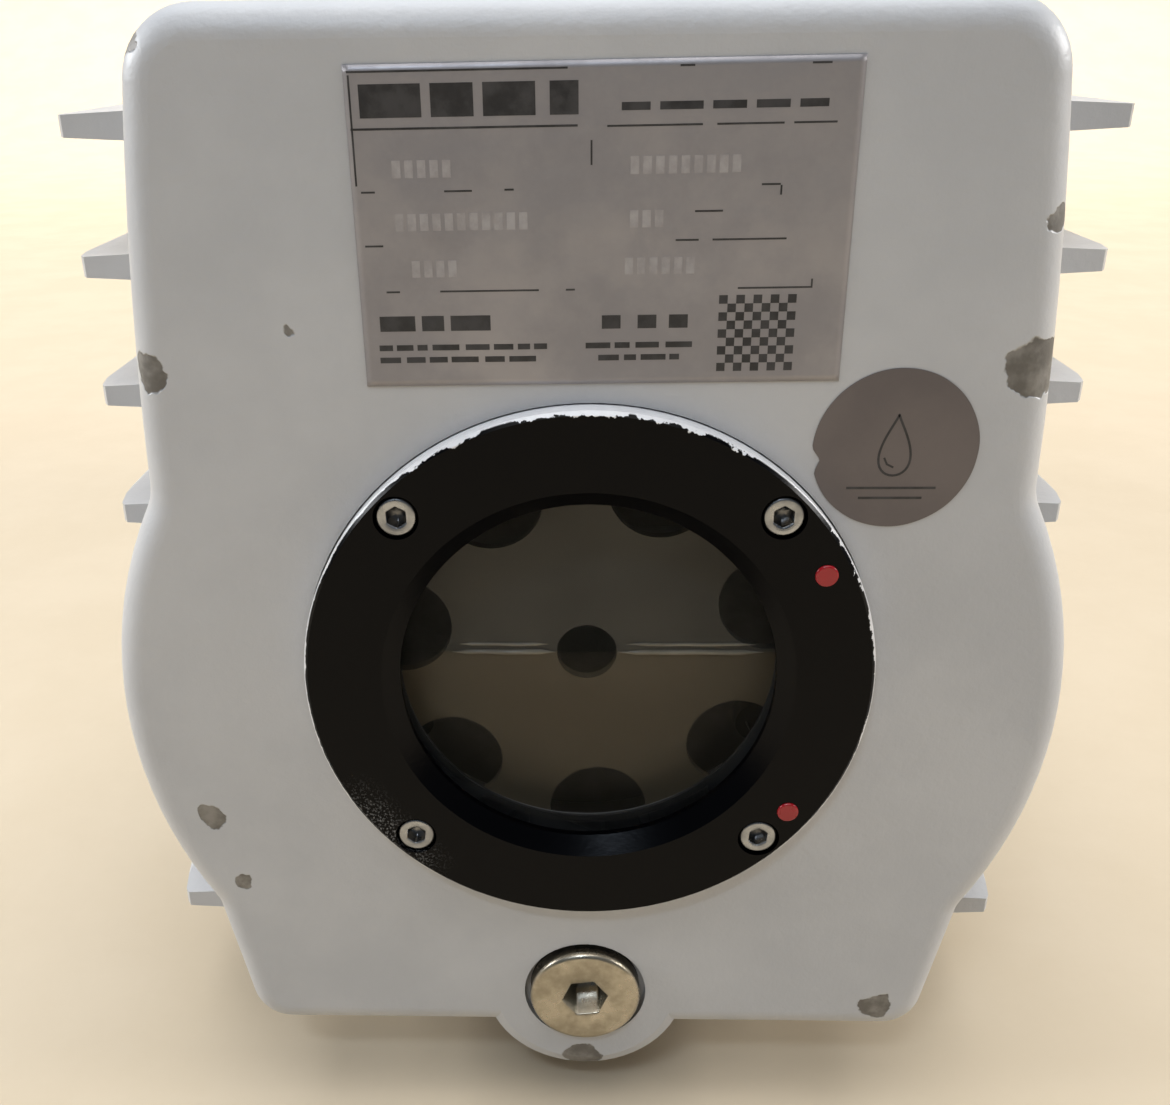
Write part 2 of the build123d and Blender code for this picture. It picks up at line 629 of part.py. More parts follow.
spring_depths = (STAGE_ONE[0] + 15, STAGE_ONE[1] - 15, valve_depths["stage_two"])
with BuildPart() as rotor:
    disc(GEAR_SHAFT_R, OIL_COVER[0] + 4, END_PLATE[0])
    disc(FRONT_JOURNAL_R, END_PLATE[0] + FACE_GAP, STAGE_TWO[0] + FACE_GAP)
    disc(GEAR_SHAFT_R, END_PLATE[0], END_PLATE[0] + FACE_GAP)
    disc(ROTOR_R, STAGE_TWO[0] + FACE_GAP, STAGE_TWO[1] - FACE_GAP)
    disc(JOURNAL_R, STAGE_TWO[1] - FACE_GAP, STAGE_ONE[0] + FACE_GAP)
    disc(ROTOR_R, STAGE_ONE[0] + FACE_GAP, STAGE_ONE[1] - FACE_GAP)
    disc(JOURNAL_R, STAGE_ONE[1] - FACE_GAP, 236)
    disc(SEAL_JOURNAL_R, 236, 264)
    disc(SHAFT_R, 264, SHAFT_END)
    for front, rear in STAGES.values():
        for span in ((-ROTOR_R - 1, -SLOT_BOTTOM_R), (SLOT_BOTTOM_R, ROTOR_R + 1)):
            block(span, (front, rear), (AXIS_Z - SLOT_WIDTH / 2, AXIS_Z + SLOT_WIDTH / 2), Mode.SUBTRACT)
    for depth in spring_depths:
        with BuildSketch(across_x(0, depth, AXIS_Z)):
            Circle(SPRING_HOLE_R)
        extrude(amount=SLOT_BOTTOM_R + 1, both=True, mode=Mode.SUBTRACT)
rotor.part.label = "rotor"
export_step(rotor.part, "parts/rotor.step")

for name, (front, rear) in STAGES.items():
    for letter, side in (("a", -1), ("b", 1)):
        inner, outer = side * VANE_INNER_R, side * VANE_OUTER_R
        half = SLOT_WIDTH / 2 - VANE_PLAY
        with BuildPart() as vane:
            block(sorted((inner, outer)), (front + 0.2, rear - 0.2), (AXIS_Z - half, AXIS_Z + half))
            tip_edges = vane.edges().filter_by(Axis.Y).group_by(Axis.X)[0 if side < 0 else -1]
            fillet(tip_edges, radius=1.5)
        vane.part.label = f"{name}_vane_{letter}"
        export_step(vane.part, f"parts/{name}_vane_{letter}.step")

with BuildPart() as vane_springs:
    for depth in spring_depths:
        start = (-SPRING_LENGTH / 2, FACE_Y + depth, AXIS_Z)
        with BuildLine() as coil:
            Helix(SPRING_LENGTH / SPRING_TURNS, SPRING_LENGTH, SPRING_R, center=start, direction=(1, 0, 0))
        with BuildSketch(Plane(origin=coil.line @ 0, z_dir=coil.line % 0)):
            Circle(SPRING_WIRE_R)
        sweep(path=coil.line, is_frenet=True)
vane_springs.part.label = "vane_springs"
export_step(vane_springs.part, "parts/vane_springs.step")

for name, depth in valve_depths.items():
    with BuildPart() as valve_disc:
        post(VALVE_DISC_R, VALVE_Z, VALVE_Z + VALVE_DISC_THICK, [(VALVE_X, depth)])
    valve_disc.part.label = f"{name}_valve_disc"
    export_step(valve_disc.part, f"parts/{name}_valve_disc.step")

cage_places = [(VALVE_X, depth) for depth in valve_depths.values()]
with BuildPart() as valve_cages:
    post(CAGE_R, VALVE_Z, VALVE_Z + CAGE_HEIGHT, cage_places)
    lift_room = VALVE_DISC_THICK + VALVE_TRAVEL + 0.3
    post(VALVE_DISC_R + 0.4, VALVE_Z, VALVE_Z + lift_room, cage_places, Mode.SUBTRACT)
    post(5, VALVE_Z, VALVE_Z + CAGE_HEIGHT, cage_places, Mode.SUBTRACT)
    for depth in valve_depths.values():
        span = (VALVE_X - CAGE_R - 1, VALVE_X + CAGE_R + 1)
        block(span, (depth - 4, depth + 4), (VALVE_Z + 1.8, VALVE_Z + 4), Mode.SUBTRACT)
valve_cages.part.label = "valve_cages"
export_step(valve_cages.part, "parts/valve_cages.step")


# ---------------------------------------------------------------- oil pump
def gear_face(start_degrees):
    """Adds an involute gear's outline, with a tooth at start_degrees, to the open sketch."""
    base_r = PITCH_R * math.cos(PRESSURE_ANGLE)
    half_tooth = math.pi / (2 * TEETH) - BACKLASH / (2 * PITCH_R)
    pitch_involute = math.tan(PRESSURE_ANGLE) - PRESSURE_ANGLE
    flank = []
    for step in range(5):
        radius = base_r + (GEAR_TIP_R - base_r) * step / 4
        pressure = math.acos(base_r / radius)
        flank.append((radius, math.degrees(half_tooth + pitch_involute - math.tan(pressure) + pressure)))
    outline = []
    for tooth in range(TEETH):
        middle = start_degrees + tooth * 360 / TEETH
        outline.append(polar(GEAR_ROOT_R, middle - flank[0][1]))
        outline += [polar(radius, middle - angle) for radius, angle in flank]
        outline += [polar(radius, middle + angle) for radius, angle in reversed(flank)]
        outline.append(polar(GEAR_ROOT_R, middle + flank[0][1]))
    with BuildLine() as edge:
        Polyline(*outline, close=True)
    return make_face(edge.edges())


with BuildPart() as drive_gear:
    with BuildSketch(on_axis(OIL_PUMP[1] - FACE_GAP)):
        gear_face(0)
        Circle(GEAR_SHAFT_R, mode=Mode.SUBTRACT)
    extrude(amount=OIL_PUMP[1] - OIL_PUMP[0] - 2 * FACE_GAP)
drive_gear.part.label = "drive_gear"
export_step(drive_gear.part, "parts/drive_gear.step")

with BuildPart() as idler_gear:
    with BuildSketch(at_depth(OIL_PUMP[1] - FACE_GAP, GEAR_CENTRES, AXIS_Z)):
        gear_face(180 / TEETH)
    extrude(amount=OIL_PUMP[1] - OIL_PUMP[0] - 2 * FACE_GAP)
    disc(IDLER_SHAFT_R, OIL_COVER[1] - 6, END_PLATE[0] + 9, [(GEAR_CENTRES, AXIS_Z)])
idler_gear.part.label = "idler_gear"
export_step(idler_gear.part, "parts/idler_gear.step")

gear_places = [(0, AXIS_Z), (GEAR_CENTRES, AXIS_Z)]
with BuildPart() as oil_pump_body:
    with BuildSketch(on_axis(OIL_PUMP[1])):
        with Locations((GEAR_CENTRES / 2, 0)):
            SlotCenterToCenter(GEAR_CENTRES, OIL_PUMP_WIDTH)
    extrude(amount=OIL_PUMP[1] - OIL_PUMP[0])
    disc(GEAR_TIP_R + 0.2, *OIL_PUMP, gear_places, Mode.SUBTRACT)
oil_pump_body.part.label = "oil_pump_body"
export_step(oil_pump_body.part, "parts/oil_pump_body.step")

with BuildPart() as oil_pump_cover:
    with BuildSketch(on_axis(OIL_COVER[1])):
        with Locations((GEAR_CENTRES / 2, 0)):
            SlotCenterToCenter(GEAR_CENTRES, OIL_PUMP_WIDTH)
    extrude(amount=OIL_COVER[1] - OIL_COVER[0])
    fillet(oil_pump_cover.faces().sort_by(Axis.Y)[0].edges(), radius=2)
    disc(GEAR_SHAFT_R + RUNNING_FIT, OIL_COVER[0] + 3, OIL_COVER[1], [(0, AXIS_Z)], Mode.SUBTRACT)
    idler_hole = (IDLER_SHAFT_R + RUNNING_FIT, OIL_COVER[1] - 7, OIL_COVER[1])
    disc(*idler_hole, [(GEAR_CENTRES, AXIS_Z)], Mode.SUBTRACT)
oil_pump_cover.part.label = "oil_pump_cover"
export_step(oil_pump_cover.part, "parts/oil_pump_cover.step")

with BuildPart() as exhaust_filter:
    disc(FILTER_R, FILTER_FRONT, HOUSING_FRONT, [(PORT_X, EXHAUST_DUCT_Z)])
    disc(FILTER_BORE_R, FILTER_FRONT + 3, HOUSING_FRONT, [(PORT_X, EXHAUST_DUCT_Z)], Mode.SUBTRACT)
    with BuildSketch(at_depth(HOUSING_FRONT - 16, PORT_X, EXHAUST_DUCT_Z)) as pleats:
        with PolarLocations(FILTER_R, FILTER_PLEATS):
            Circle(1.4)
    extrude(pleats.sketch, amount=HOUSING_FRONT - 27 - FILTER_FRONT, mode=Mode.SUBTRACT)
exhaust_filter.part.label = "exhaust_filter"
export_step(exhaust_filter.part, "parts/exhaust_filter.step")

# ---------------------------------------------------------------- centre housing with ports and front feet
with BuildPart() as centre_housing:
    with BuildSketch(at_depth(FLANGE_REAR)):
        add(case_rim.sketch)
    extrude(amount=FLANGE_REAR - HOUSING_FRONT)
    disc(BODY_R, FLANGE_REAR, HOUSING_REAR)
    block((-BLOCK_X, BLOCK_X), (FLANGE_REAR, HOUSING_REAR), (AXIS_Z, PORT_BASE_Z))
    block((-BLOCK_X, BLOCK_X), (HOUSING_REAR, BLOCK_REAR), (242, PORT_BASE_Z))
    block((-14, 14), (HOUSING_FRONT, 216), (280, EYE_SEAT_Z))
    cast_feet(FRONT_FOOT, 110)
    rear_corners = [
        edge
        for edge in centre_housing.edges().filter_by(Axis.Z)
        if abs(abs(edge.center().X) - BLOCK_X) < 1 and edge.center().Y > FACE_Y + HOUSING_REAR + 5
    ]
    fillet(rear_corners, radius=8)
    disc(REAR_BUSH_R, HOUSING_FRONT, BUSH_REAR, mode=Mode.SUBTRACT)
    disc(JOURNAL_R + 0.5, BUSH_REAR, SEAL_SPAN[0] - 2, mode=Mode.SUBTRACT)
    disc(REAR_BUSH_R, SEAL_SPAN[0] - 2, HOUSING_REAR, mode=Mode.SUBTRACT)
    disc(TIE_SCREW_R + 0.05, HOUSING_FRONT, HOUSING_FRONT + 20, tie_places, Mode.SUBTRACT)
    disc(CLEAR_M8, HOUSING_FRONT, FLANGE_REAR, CASE_SCREW_PLACES, Mode.SUBTRACT)
    disc(4.05, HOUSING_REAR - 20, HOUSING_REAR, lantern_places, Mode.SUBTRACT)
    post(DUCT_R, DUCT_BOTTOM_Z, PORT_BASE_Z, [(-PORT_X, PORT_DEPTH), (PORT_X, PORT_DEPTH)], Mode.SUBTRACT)
    post(9, AXIS_Z + 40, DUCT_BOTTOM_Z, [(-PORT_X, PORT_DEPTH)], Mode.SUBTRACT)
    disc(8, HOUSING_FRONT, PORT_DEPTH, [(-40, AXIS_Z + 52)], Mode.SUBTRACT)
    disc(12, HOUSING_FRONT, PORT_DEPTH, [(PORT_X, EXHAUST_DUCT_Z + 2)], Mode.SUBTRACT)
    post(3.05, PORT_BASE_Z - 14, PORT_BASE_Z, port_screws_at, Mode.SUBTRACT)
    post(5.05, EYE_SEAT_Z - 16, EYE_SEAT_Z, [(0, EYE_DEPTH)], Mode.SUBTRACT)
    post(CLEAR_M8, FOOT_Z, FOOT_Z + FOOT_THICK, FEET[:2], Mode.SUBTRACT)
    with BuildSketch(across_x(BLOCK_X, KNOB_DEPTH, KNOB_Z)) as spindle:
        Circle(KNOB_STEM_R + RUNNING_FIT)
    extrude(spindle.sketch, amount=-18, mode=Mode.SUBTRACT)
centre_housing.part.label = "centre_housing"
export_step(centre_housing.part, "parts/centre_housing.step")

with BuildPart() as shaft_seal:
    disc(REAR_BUSH_R, *SEAL_SPAN)
    disc(SEAL_JOURNAL_R + RUNNING_FIT, *SEAL_SPAN, mode=Mode.SUBTRACT)
    disc(REAR_BUSH_R - 5, SEAL_SPAN[0] + 4, SEAL_SPAN[1], mode=Mode.SUBTRACT)
shaft_seal.part.label = "shaft_seal"
export_step(shaft_seal.part, "parts/shaft_seal.step")

for name, side in (("intake_flange", -1), ("exhaust_flange", 1)):
    with BuildPart() as port:
        with BuildSketch(at_depth(PORT_DEPTH, side * PORT_X)):
            with BuildLine():
                Polyline(
                    (PORT_BORE_R, PORT_BASE_Z),
                    (PORT_BASE_R, PORT_BASE_Z),
                    (PORT_BASE_R, PORT_BASE_Z + PORT_FOOT),
                    (PORT_TUBE_R, PORT_BASE_Z + PORT_FOOT),
                    (PORT_TUBE_R, PORT_TOP_Z - 6),
                    (PORT_FLANGE_R, PORT_TOP_Z - 3),
                    (PORT_FLANGE_R, PORT_TOP_Z),
                    (PORT_BORE_R, PORT_TOP_Z),
                    close=True,
                )
            make_face()
        revolve(axis=Axis((side * PORT_X, FACE_Y + PORT_DEPTH, 0), (0, 0, 1)))
        holes = port_screws_at[:4] if side < 0 else port_screws_at[4:]
        post(3.3, PORT_BASE_Z, PORT_BASE_Z + PORT_FOOT, holes, Mode.SUBTRACT)
    port.part.label = name
    export_step(port.part, f"parts/{name}.step")

with BuildPart() as port_screws:
    upright_screws(port_screws_at, PORT_BASE_Z + PORT_FOOT, (4.9, 6, 3), 20)
port_screws.part.label = "port_screws"
export_step(port_screws.part, "parts/port_screws.step")

with BuildPart() as intake_valve_disc:
    post(INTAKE_VALVE_R, INTAKE_VALVE_Z, INTAKE_VALVE_Z + 4, [(-PORT_X, PORT_DEPTH)])
    post(6, INTAKE_VALVE_Z + 4, INTAKE_VALVE_Z + 10, [(-PORT_X, PORT_DEPTH)])
    fillet(intake_valve_disc.edges().filter_by(GeomType.CIRCLE).group_by(Axis.Z)[-1], radius=1)
intake_valve_disc.part.label = "intake_valve_disc"
export_step(intake_valve_disc.part, "parts/intake_valve_disc.step")

with BuildPart() as gas_ballast_knob:
    with BuildSketch(across_x(BLOCK_X, KNOB_DEPTH, KNOB_Z)) as stem:
        Circle(KNOB_STEM_R)
    extrude(stem.sketch, amount=-16)
    extrude(stem.sketch, amount=6)
    with BuildSketch(across_x(BLOCK_X + 1, KNOB_DEPTH, KNOB_Z)):
        Circle(KNOB_R)
        with PolarLocations(KNOB_R + 0.6, 14):
            Circle(1.8, mode=Mode.SUBTRACT)
    extrude(amount=18)
    fillet(gas_ballast_knob.faces().sort_by(Axis.X)[-1].outer_wire().edges(), radius=0.8)
    block((BLOCK_X + 17, BLOCK_X + 20), (KNOB_DEPTH - 1.5, KNOB_DEPTH + 1.5), (KNOB_Z, KNOB_Z + 13))
gas_ballast_knob.part.label = "gas_ballast_knob"
export_step(gas_ballast_knob.part, "parts/gas_ballast_knob.step")

with BuildPart() as lifting_eye:
    post(5, EYE_SEAT_Z - 15, EYE_SEAT_Z, [(0, EYE_DEPTH)])
    post(10, EYE_SEAT_Z, EYE_SEAT_Z + 6, [(0, EYE_DEPTH)])
    with BuildSketch(at_height(EYE_SEAT_Z + 23, depth=EYE_DEPTH)):
        with Locations((EYE_R, 0)):
            Circle(EYE_WIRE_R)
    revolve(axis=Axis((0, FACE_Y + EYE_DEPTH, EYE_SEAT_Z + 23), (0, 1, 0)))
lifting_eye.part.label = "lifting_eye"
export_step(lifting_eye.part, "parts/lifting_eye.step")

# ---------------------------------------------------------------- coupling
with BuildPart() as coupling_housing:
    disc(BODY_R, HOUSING_REAR, HOUSING_REAR + LANTERN_FLANGE)
    disc(LANTERN_TUBE_R, HOUSING_REAR, LANTERN_REAR)
    disc(BODY_R, LANTERN_REAR - LANTERN_FLANGE, LANTERN_REAR)
    disc(LANTERN_BORE_R, HOUSING_REAR + 4, LANTERN_REAR, mode=Mode.SUBTRACT)
    disc(36, HOUSING_REAR, HOUSING_REAR + 4, mode=Mode.SUBTRACT)
    window_z = (AXIS_Z - LANTERN_WINDOW_HALF, AXIS_Z + LANTERN_WINDOW_HALF)
    block((-90, 90), LANTERN_WINDOW, window_z, Mode.SUBTRACT)
    disc(CLEAR_M8, HOUSING_REAR, LANTERN_REAR, lantern_places, Mode.SUBTRACT)
coupling_housing.part.label = "coupling_housing"
export_step(coupling_housing.part, "parts/coupling_housing.step")

with BuildPart() as lantern_screws:
    cap_screws(lantern_places, HOUSING_REAR + LANTERN_FLANGE, M8, 30, facing=-1)
    cap_screws(lantern_places, LANTERN_REAR - LANTERN_FLANGE, M8, 22, facing=1)
lantern_screws.part.label = "lantern_screws"
export_step(lantern_screws.part, "parts/lantern_screws.step")


def sector(inner, outer, middle, half):
    """A wedge between two radii, for coupling jaws and spider lobes."""
    with BuildLine() as edge:
        Polyline(
            polar(inner, middle - half),
            polar(outer, middle - half),
            polar(outer, middle + half),
            polar(inner, middle + half),
            close=True,
        )
    return make_face(edge.edges())


hubs = (("pump_coupling_hub", 268, JAW_FRONT, 0), ("motor_coupling_hub", JAW_REAR, 322, 60))
for name, front, rear, first_jaw in hubs:
    with BuildPart() as hub:
        disc(HUB_R, front, rear)
        with BuildSketch(on_axis(JAW_REAR)):
            for jaw in range(3):
                sector(14, HUB_R - 0.5, first_jaw + 120 * jaw, 18)
        extrude(amount=JAW_REAR - JAW_FRONT)
        disc(SHAFT_R, front, rear, mode=Mode.SUBTRACT)
    hub.part.label = name
    export_step(hub.part, f"parts/{name}.step")

with BuildPart() as coupling_spider:
    with BuildSketch(on_axis(JAW_REAR - 0.2)):
        Circle(12.8)
        for lobe in range(6):
            sector(10, HUB_R - 1.5, 30 + 60 * lobe, 9)
        Circle(8, mode=Mode.SUBTRACT)
    extrude(amount=JAW_REAR - JAW_FRONT - 0.4)
coupling_spider.part.label = "coupling_spider"
export_step(coupling_spider.part, "parts/coupling_spider.step")

# ---------------------------------------------------------------- motor
with BuildPart() as motor_housing:
    with BuildSketch(on_axis(FRAME_REAR)):
        Circle(FRAME_R)
        with PolarLocations((FRAME_R + FRAME_FIN_R) / 2 - 1, MOTOR_FIN_COUNT):
            Rectangle(FRAME_FIN_R - FRAME_R + 2, 2.6)
    extrude(amount=FRAME_REAR - FRAME_FRONT)
    block((-42, 42), (385, 475), (AXIS_Z + 60, BOX_FLOOR_Z))
    cast_feet(REAR_FOOT, AXIS_Z - 40)
    disc(FRAME_BORE_R, FRAME_FRONT, FRAME_REAR, mode=Mode.SUBTRACT)
    post(WIRE_HOLE_R, AXIS_Z, BOX_FLOOR_Z, [(0, GLAND_DEPTH)], Mode.SUBTRACT)
    post(CLEAR_M8, FOOT_Z, FOOT_Z + FOOT_THICK, FEET[2:], Mode.SUBTRACT)
motor_housing.part.label = "motor_housing"
export_step(motor_housing.part, "parts/motor_housing.step")

with BuildPart() as front_shield:
    turn([(14, LANTERN_REAR), (BODY_R, LANTERN_REAR), (BODY_R, FRAME_FRONT), (FRAME_BORE_R, FRAME_FRONT),
          (FRAME_BORE_R, 344), (34, 344), (34, 350), (BEARING_R, 350), (BEARING_R, BEARING_FRONT),
          (14, BEARING_FRONT)])
    disc(4.05, LANTERN_REAR, LANTERN_REAR + 11, lantern_places, Mode.SUBTRACT)
front_shield.part.label = "front_shield"
export_step(front_shield.part, "parts/front_shield.step")

with BuildPart() as rear_shield:
    turn([(BEARING_R, BEARING_REAR), (34, BEARING_REAR), (34, 532), (FRAME_BORE_R, 532),
          (FRAME_BORE_R, FRAME_REAR), (92, FRAME_REAR), (92, 548), (40, 548), (40, 552), (14, 552), (14, 544),
          (BEARING_R, 544)])
    with BuildSketch(on_axis(549)) as lugs:
        with PolarLocations(93, 4, start_angle=45):
            Rectangle(12, 14)
        Circle(COWL_INNER_R, mode=Mode.INTERSECT)
    extrude(lugs.sketch, amount=10)
rear_shield.part.label = "rear_shield"
export_step(rear_shield.part, "parts/rear_shield.step")

with BuildPart() as motor_bearings:
    for front in (BEARING_FRONT, BEARING_REAR):
        rear = front + BEARING_WIDTH
        disc(BEARING_R, front, rear)
        disc(BEARING_BORE_R + RUNNING_FIT, front, rear, mode=Mode.SUBTRACT)
        for groove in ((front, front + 1), (rear - 1, rear)):
            turn([(17, groove[0]), (21, groove[0]), (21, groove[1]), (17, groove[1])], mode=Mode.SUBTRACT)
motor_bearings.part.label = "motor_bearings"
export_step(motor_bearings.part, "parts/motor_bearings.step")

with BuildPart() as motor_rotor:
    disc(SHAFT_R, JAW_REAR + 1, BEARING_FRONT)
    disc(BEARING_BORE_R, BEARING_FRONT, BEARING_FRONT + BEARING_WIDTH + 1)
    disc(MOTOR_SHAFT_R, BEARING_FRONT + BEARING_WIDTH + 1, BEARING_REAR - 1)
    disc(CORE_BORE_R - AIR_GAP, *CORE_SPAN)
    disc(BEARING_BORE_R, BEARING_REAR - 1, BEARING_REAR + BEARING_WIDTH + 2)
    disc(FAN_SHAFT_R, BEARING_REAR + BEARING_WIDTH + 2, FAN[1] + 2)
motor_rotor.part.label = "motor_rotor"
export_step(motor_rotor.part, "parts/motor_rotor.step")

with BuildPart() as motor_stator:
    disc(FRAME_BORE_R, *CORE_SPAN)
    disc(WINDING_R[1], CORE_SPAN[0] - WINDING_LENGTH, CORE_SPAN[1] + WINDING_LENGTH)
    disc(WINDING_R[0], CORE_SPAN[0] - WINDING_LENGTH, CORE_SPAN[0], mode=Mode.SUBTRACT)
    disc(CORE_BORE_R, *CORE_SPAN, mode=Mode.SUBTRACT)
    disc(WINDING_R[0], CORE_SPAN[1], CORE_SPAN[1] + WINDING_LENGTH, mode=Mode.SUBTRACT)
motor_stator.part.label = "motor_stator"
export_step(motor_stator.part, "parts/motor_stator.step")

with BuildPart() as motor_fan:
    disc(22, *FAN)
    disc(FAN_R, FAN[0], FAN[0] + 3)
    with BuildSketch(on_axis(FAN[1])):
        with PolarLocations(52, FAN_BLADE_COUNT):
            Rectangle(64, 3)
    extrude(amount=FAN[1] - FAN[0])
    disc(FAN_SHAFT_R, *FAN, mode=Mode.SUBTRACT)
motor_fan.part.label = "motor_fan"
export_step(motor_fan.part, "parts/motor_fan.step")

cowl_holes = [
    (x, AXIS_Z + z)
    for ring_r, count in COWL_HOLE_RINGS
    for x, z in (polar(ring_r, 360 * n / count) for n in range(count))
]


def outward(angle):
    """A plane through the shaft at the cowl screws' depth that faces outwards at the given angle."""
    x, z = polar(1, angle)
    return Plane(origin=(0, FACE_Y + COWL_SCREW_DEPTH, AXIS_Z), x_dir=(0, 1, 0), z_dir=(x, 0, z))


with BuildPart() as fan_cowl:
    turn([(COWL_INNER_R, COWL_FRONT), (COWL_R, COWL_FRONT), (COWL_R, COWL_REAR - 18),
          (COWL_R - 5, COWL_REAR - 6), (COWL_R - 17, COWL_REAR), (0, COWL_REAR),
          (0, COWL_REAR - COWL_WALL), (COWL_R - 17.6, COWL_REAR - COWL_WALL),
          (COWL_R - 6.2, COWL_REAR - 7.4), (COWL_INNER_R, COWL_REAR - 18.6)])
    disc(COWL_HOLE_R, COWL_REAR - 5, COWL_REAR, cowl_holes, Mode.SUBTRACT)
    for angle in COWL_SCREW_ANGLES:
        radial = outward(angle)
        with BuildSketch(radial.offset(90)) as hole:
            Circle(2.5)
        extrude(hole.sketch, amount=12, mode=Mode.SUBTRACT)
fan_cowl.part.label = "fan_cowl"
export_step(fan_cowl.part, "parts/fan_cowl.step")

with BuildPart() as cowl_screws:
    for angle in COWL_SCREW_ANGLES:
        radial = outward(angle)
        with BuildSketch(radial.offset(COWL_R - COWL_WALL)) as thread:
            Circle(2.4)
        extrude(thread.sketch, amount=COWL_WALL)
        with BuildSketch(radial.offset(COWL_R)) as head:
            Circle(4.2)
        extrude(head.sketch, amount=2.2)
        with BuildSketch(radial.offset(COWL_R + 2.2)) as cross:
            Rectangle(4.4, 0.9)
            Rectangle(0.9, 4.4)
        extrude(cross.sketch, amount=-1.1, mode=Mode.SUBTRACT)
cowl_screws.part.label = "cowl_screws"
export_step(cowl_screws.part, "parts/cowl_screws.step")

gland_plane = across_x(BOX_X, GLAND_DEPTH, GLAND_Z)
with BuildPart() as terminal_box:
    block((-BOX_X, BOX_X), BOX_SPAN, (BOX_FLOOR_Z, BOX_TOP_Z))
    fillet(terminal_box.edges().filter_by(Axis.Z), radius=7)
    inner_x = (-BOX_X + BOX_WALL, BOX_X - BOX_WALL)
    inner_depth = (BOX_SPAN[0] + BOX_WALL, BOX_SPAN[1] - BOX_WALL)
    block(inner_x, inner_depth, (BOX_FLOOR_Z + BOX_WALL, BOX_TOP_Z), Mode.SUBTRACT)
    post(WIRE_HOLE_R, BOX_FLOOR_Z, BOX_FLOOR_Z + BOX_WALL, [(0, GLAND_DEPTH)], Mode.SUBTRACT)
    with BuildSketch(gland_plane):
        Circle(GLAND_THREAD_R)
    extrude(amount=-BOX_WALL, mode=Mode.SUBTRACT)
terminal_box.part.label = "terminal_box"
export_step(terminal_box.part, "parts/terminal_box.step")

lid_screw_places = [(sx * 38, depth) for sx in (-1, 1) for depth in (BOX_SPAN[0] + 8, BOX_SPAN[1] - 8)]
with BuildPart() as terminal_lid:
    block((-BOX_X, BOX_X), BOX_SPAN, (BOX_TOP_Z, BOX_TOP_Z + LID_THICK))
    fillet(terminal_lid.edges().filter_by(Axis.Z), radius=7)
    fillet(terminal_lid.faces().sort_by(Axis.Z)[-1].outer_wire().edges(), radius=3)
    post(3.6, BOX_TOP_Z + LID_THICK - 3, BOX_TOP_Z + LID_THICK, lid_screw_places, Mode.SUBTRACT)
terminal_lid.part.label = "terminal_lid"
export_step(terminal_lid.part, "parts/terminal_lid.step")

with BuildPart() as cable_gland:
    with BuildSketch(gland_plane):
        Circle(GLAND_THREAD_R)
    extrude(amount=-9)
    with BuildSketch(gland_plane):
        RegularPolygon(14, 6)
    extrude(amount=6)
    with BuildSketch(gland_plane.offset(6)):
        Circle(11.5)
    extrude(amount=3)
    with BuildSketch(gland_plane.offset(9)):
        RegularPolygon(13.4, 6)
    extrude(amount=9)
    with BuildSketch(gland_plane.offset(18)):
        Circle(11)
    extrude(amount=GLAND_END - 18, taper=20)
    with BuildSketch(gland_plane.offset(GLAND_END)):
        Circle(GLAND_BORE_R)
    extrude(amount=-GLAND_END - 9, mode=Mode.SUBTRACT)
cable_gland.part.label = "cable_gland"
export_step(cable_gland.part, "parts/cable_gland.step")

# ---------------------------------------------------------------- rubber feet
with BuildPart() as rubber_feet:
    post(FOOT_RUBBER_R, 0, FOOT_Z, FEET)
    chamfer(rubber_feet.edges().filter_by(GeomType.CIRCLE), length=2)
    post(STUD_R, FOOT_Z, FOOT_Z + FOOT_THICK + 6, FEET)
    with BuildSketch(at_height(FOOT_Z + FOOT_THICK)):
        with Locations(*FEET):
            RegularPolygon(7.5, 6)
            Circle(STUD_R, mode=Mode.SUBTRACT)
    extrude(amount=6)
rubber_feet.part.label = "rubber_feet"
export_step(rubber_feet.part, "parts/rubber_feet.step")
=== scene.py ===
import json
import math
import random

import bmesh
import bpy
from mathutils import Matrix, Vector, noise


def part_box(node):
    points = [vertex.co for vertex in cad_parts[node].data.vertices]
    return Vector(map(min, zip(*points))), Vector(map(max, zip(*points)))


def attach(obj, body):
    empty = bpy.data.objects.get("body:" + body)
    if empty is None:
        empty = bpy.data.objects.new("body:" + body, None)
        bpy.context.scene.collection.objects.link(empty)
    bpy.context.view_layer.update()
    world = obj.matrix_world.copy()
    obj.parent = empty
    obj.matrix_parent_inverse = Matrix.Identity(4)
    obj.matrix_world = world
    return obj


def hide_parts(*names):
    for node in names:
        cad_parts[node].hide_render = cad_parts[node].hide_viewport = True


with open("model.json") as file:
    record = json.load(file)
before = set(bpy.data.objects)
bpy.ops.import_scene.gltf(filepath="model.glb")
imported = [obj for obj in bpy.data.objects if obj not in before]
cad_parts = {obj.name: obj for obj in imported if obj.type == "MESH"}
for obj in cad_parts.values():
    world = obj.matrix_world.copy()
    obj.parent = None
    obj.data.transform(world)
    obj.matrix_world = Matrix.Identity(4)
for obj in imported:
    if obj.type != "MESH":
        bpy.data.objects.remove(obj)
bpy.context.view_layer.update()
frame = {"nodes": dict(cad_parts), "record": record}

# Row frame in metres: X across the pump, -Y the oil case's front, +Z up, the floor at Z = 0.
MM = 0.001
FACE_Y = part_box("oil_case")[0].y  # the oil case's front face
RING_LOW, RING_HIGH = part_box("sight_glass_ring")
WINDOW = Vector(((RING_LOW.x + RING_HIGH.x) / 2, RING_LOW.y, (RING_LOW.z + RING_HIGH.z) / 2))
WINDOW_Z = WINDOW.z


